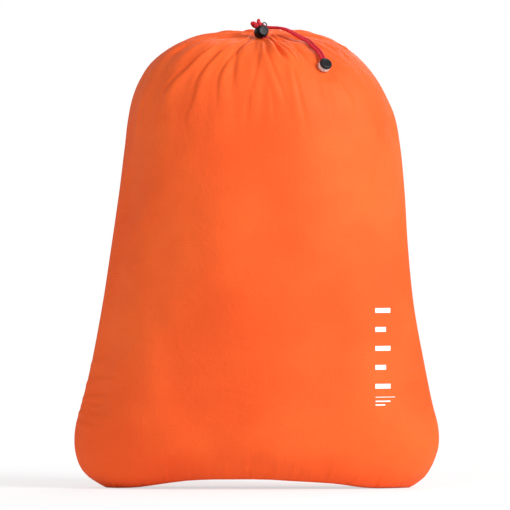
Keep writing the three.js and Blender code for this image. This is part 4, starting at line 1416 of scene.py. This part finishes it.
def floor_material():
    """White paper that fades to pure white away from the sack, for the camera only."""
    n = Shader("floor_paper")
    grain = n.noise(n.coords(), scale=60.0, detail=4.0, roughness=0.6)
    n.finish(Base_Color=n.mix(grain, (0.93, 0.93, 0.93), (0.97, 0.97, 0.97)), Roughness=0.95,
             Specular_IOR_Level=0.0, Normal=n.bump(grain, distance=0.0002, strength=0.2))
    at = n.xyz(n.coords())
    far = n.calc("SQRT", n.add(n.mul(at[0], at[0]), n.mul(at[1], at[1])))
    glow = n.node("Emission")
    n.put(glow.inputs[0], (1, 1, 1))
    both = n.node("MixShader")
    seen = n.node("LightPath").outputs["Is Camera Ray"]
    fade = n.ramp(far, start=0.18, end=0.75, low=0.62, high=1.0)
    n.put(both.inputs[0], n.mul(fade, seen))
    n.put(both.inputs[1], n.principled.outputs[0])
    n.put(both.inputs[2], glow.outputs[0])
    n.put(n.out.inputs[0], both.outputs[0])
    return n.material


def add_floor(half=30, z=-0.0003):
    material = floor_material()
    mesh = bpy.data.meshes.new("floor")
    corners = [(-half, -half, z), (half, -half, z), (half, half, z), (-half, half, z)]
    mesh.from_pydata(corners, [], [(0, 1, 2, 3)])
    mesh.materials.append(material)
    floor = bpy.data.objects.new("floor", mesh)
    scene.collection.objects.link(floor)


def add_world(light=0.48, seen=1.0):
    """White surroundings, brighter to the camera than as light."""
    world = bpy.data.worlds.new("studio")
    scene.world = world
    world.use_nodes = True
    nodes, links = world.node_tree.nodes, world.node_tree.links
    nodes.clear()
    output = nodes.new("ShaderNodeOutputWorld")
    background = nodes.new("ShaderNodeBackground")
    background.inputs[0].default_value = (1, 1, 1, 1)
    path = nodes.new("ShaderNodeLightPath")
    strength = nodes.new("ShaderNodeMapRange")
    strength.inputs[3].default_value = light
    strength.inputs[4].default_value = seen
    links.new(path.outputs["Is Camera Ray"], strength.inputs[0])
    links.new(strength.outputs[0], background.inputs[1])
    links.new(background.outputs[0], output.inputs[0])


def add_light(name, location, target, size, power):
    light = bpy.data.lights.new(name, "AREA")
    light.shape, light.size, light.size_y = "RECTANGLE", size[0], size[1]
    light.energy = power
    ob = bpy.data.objects.new(name, light)
    ob.location = location
    ob.rotation_mode = "QUATERNION"
    ob.rotation_quaternion = (Vector(target) - Vector(location)).to_track_quat("-Z", "Y")
    scene.collection.objects.link(ob)


def add_camera():
    camera = bpy.data.cameras.new("camera")
    camera.lens, camera.sensor_width, camera.sensor_fit = 400, 36, "AUTO"
    camera.clip_start, camera.clip_end = 0.1, 100
    ob = bpy.data.objects.new("camera", camera)
    ob.location = (-0.0018, -4.9866, 0.2045)
    ob.rotation_euler = (math.radians(90), 0, 0)
    scene.collection.objects.link(ob)
    scene.camera = ob


add_floor()
add_world()
add_light("key", location=(1.35, -0.95, 1.15), target=(0.02, 0, 0.22), size=(0.8, 0.8), power=31.0)
add_light("fill", location=(-1.1, -1.8, 1.25), target=(0, 0, 0.25), size=(1.2, 1.2), power=9.6)
add_light("rim", location=(0.5, 1.5, 1.3), target=(0, 0, 0.25), size=(1.0, 0.8), power=9.0)
add_camera()
scene.view_settings.view_transform = "Standard"
scene.view_settings.look = "None"
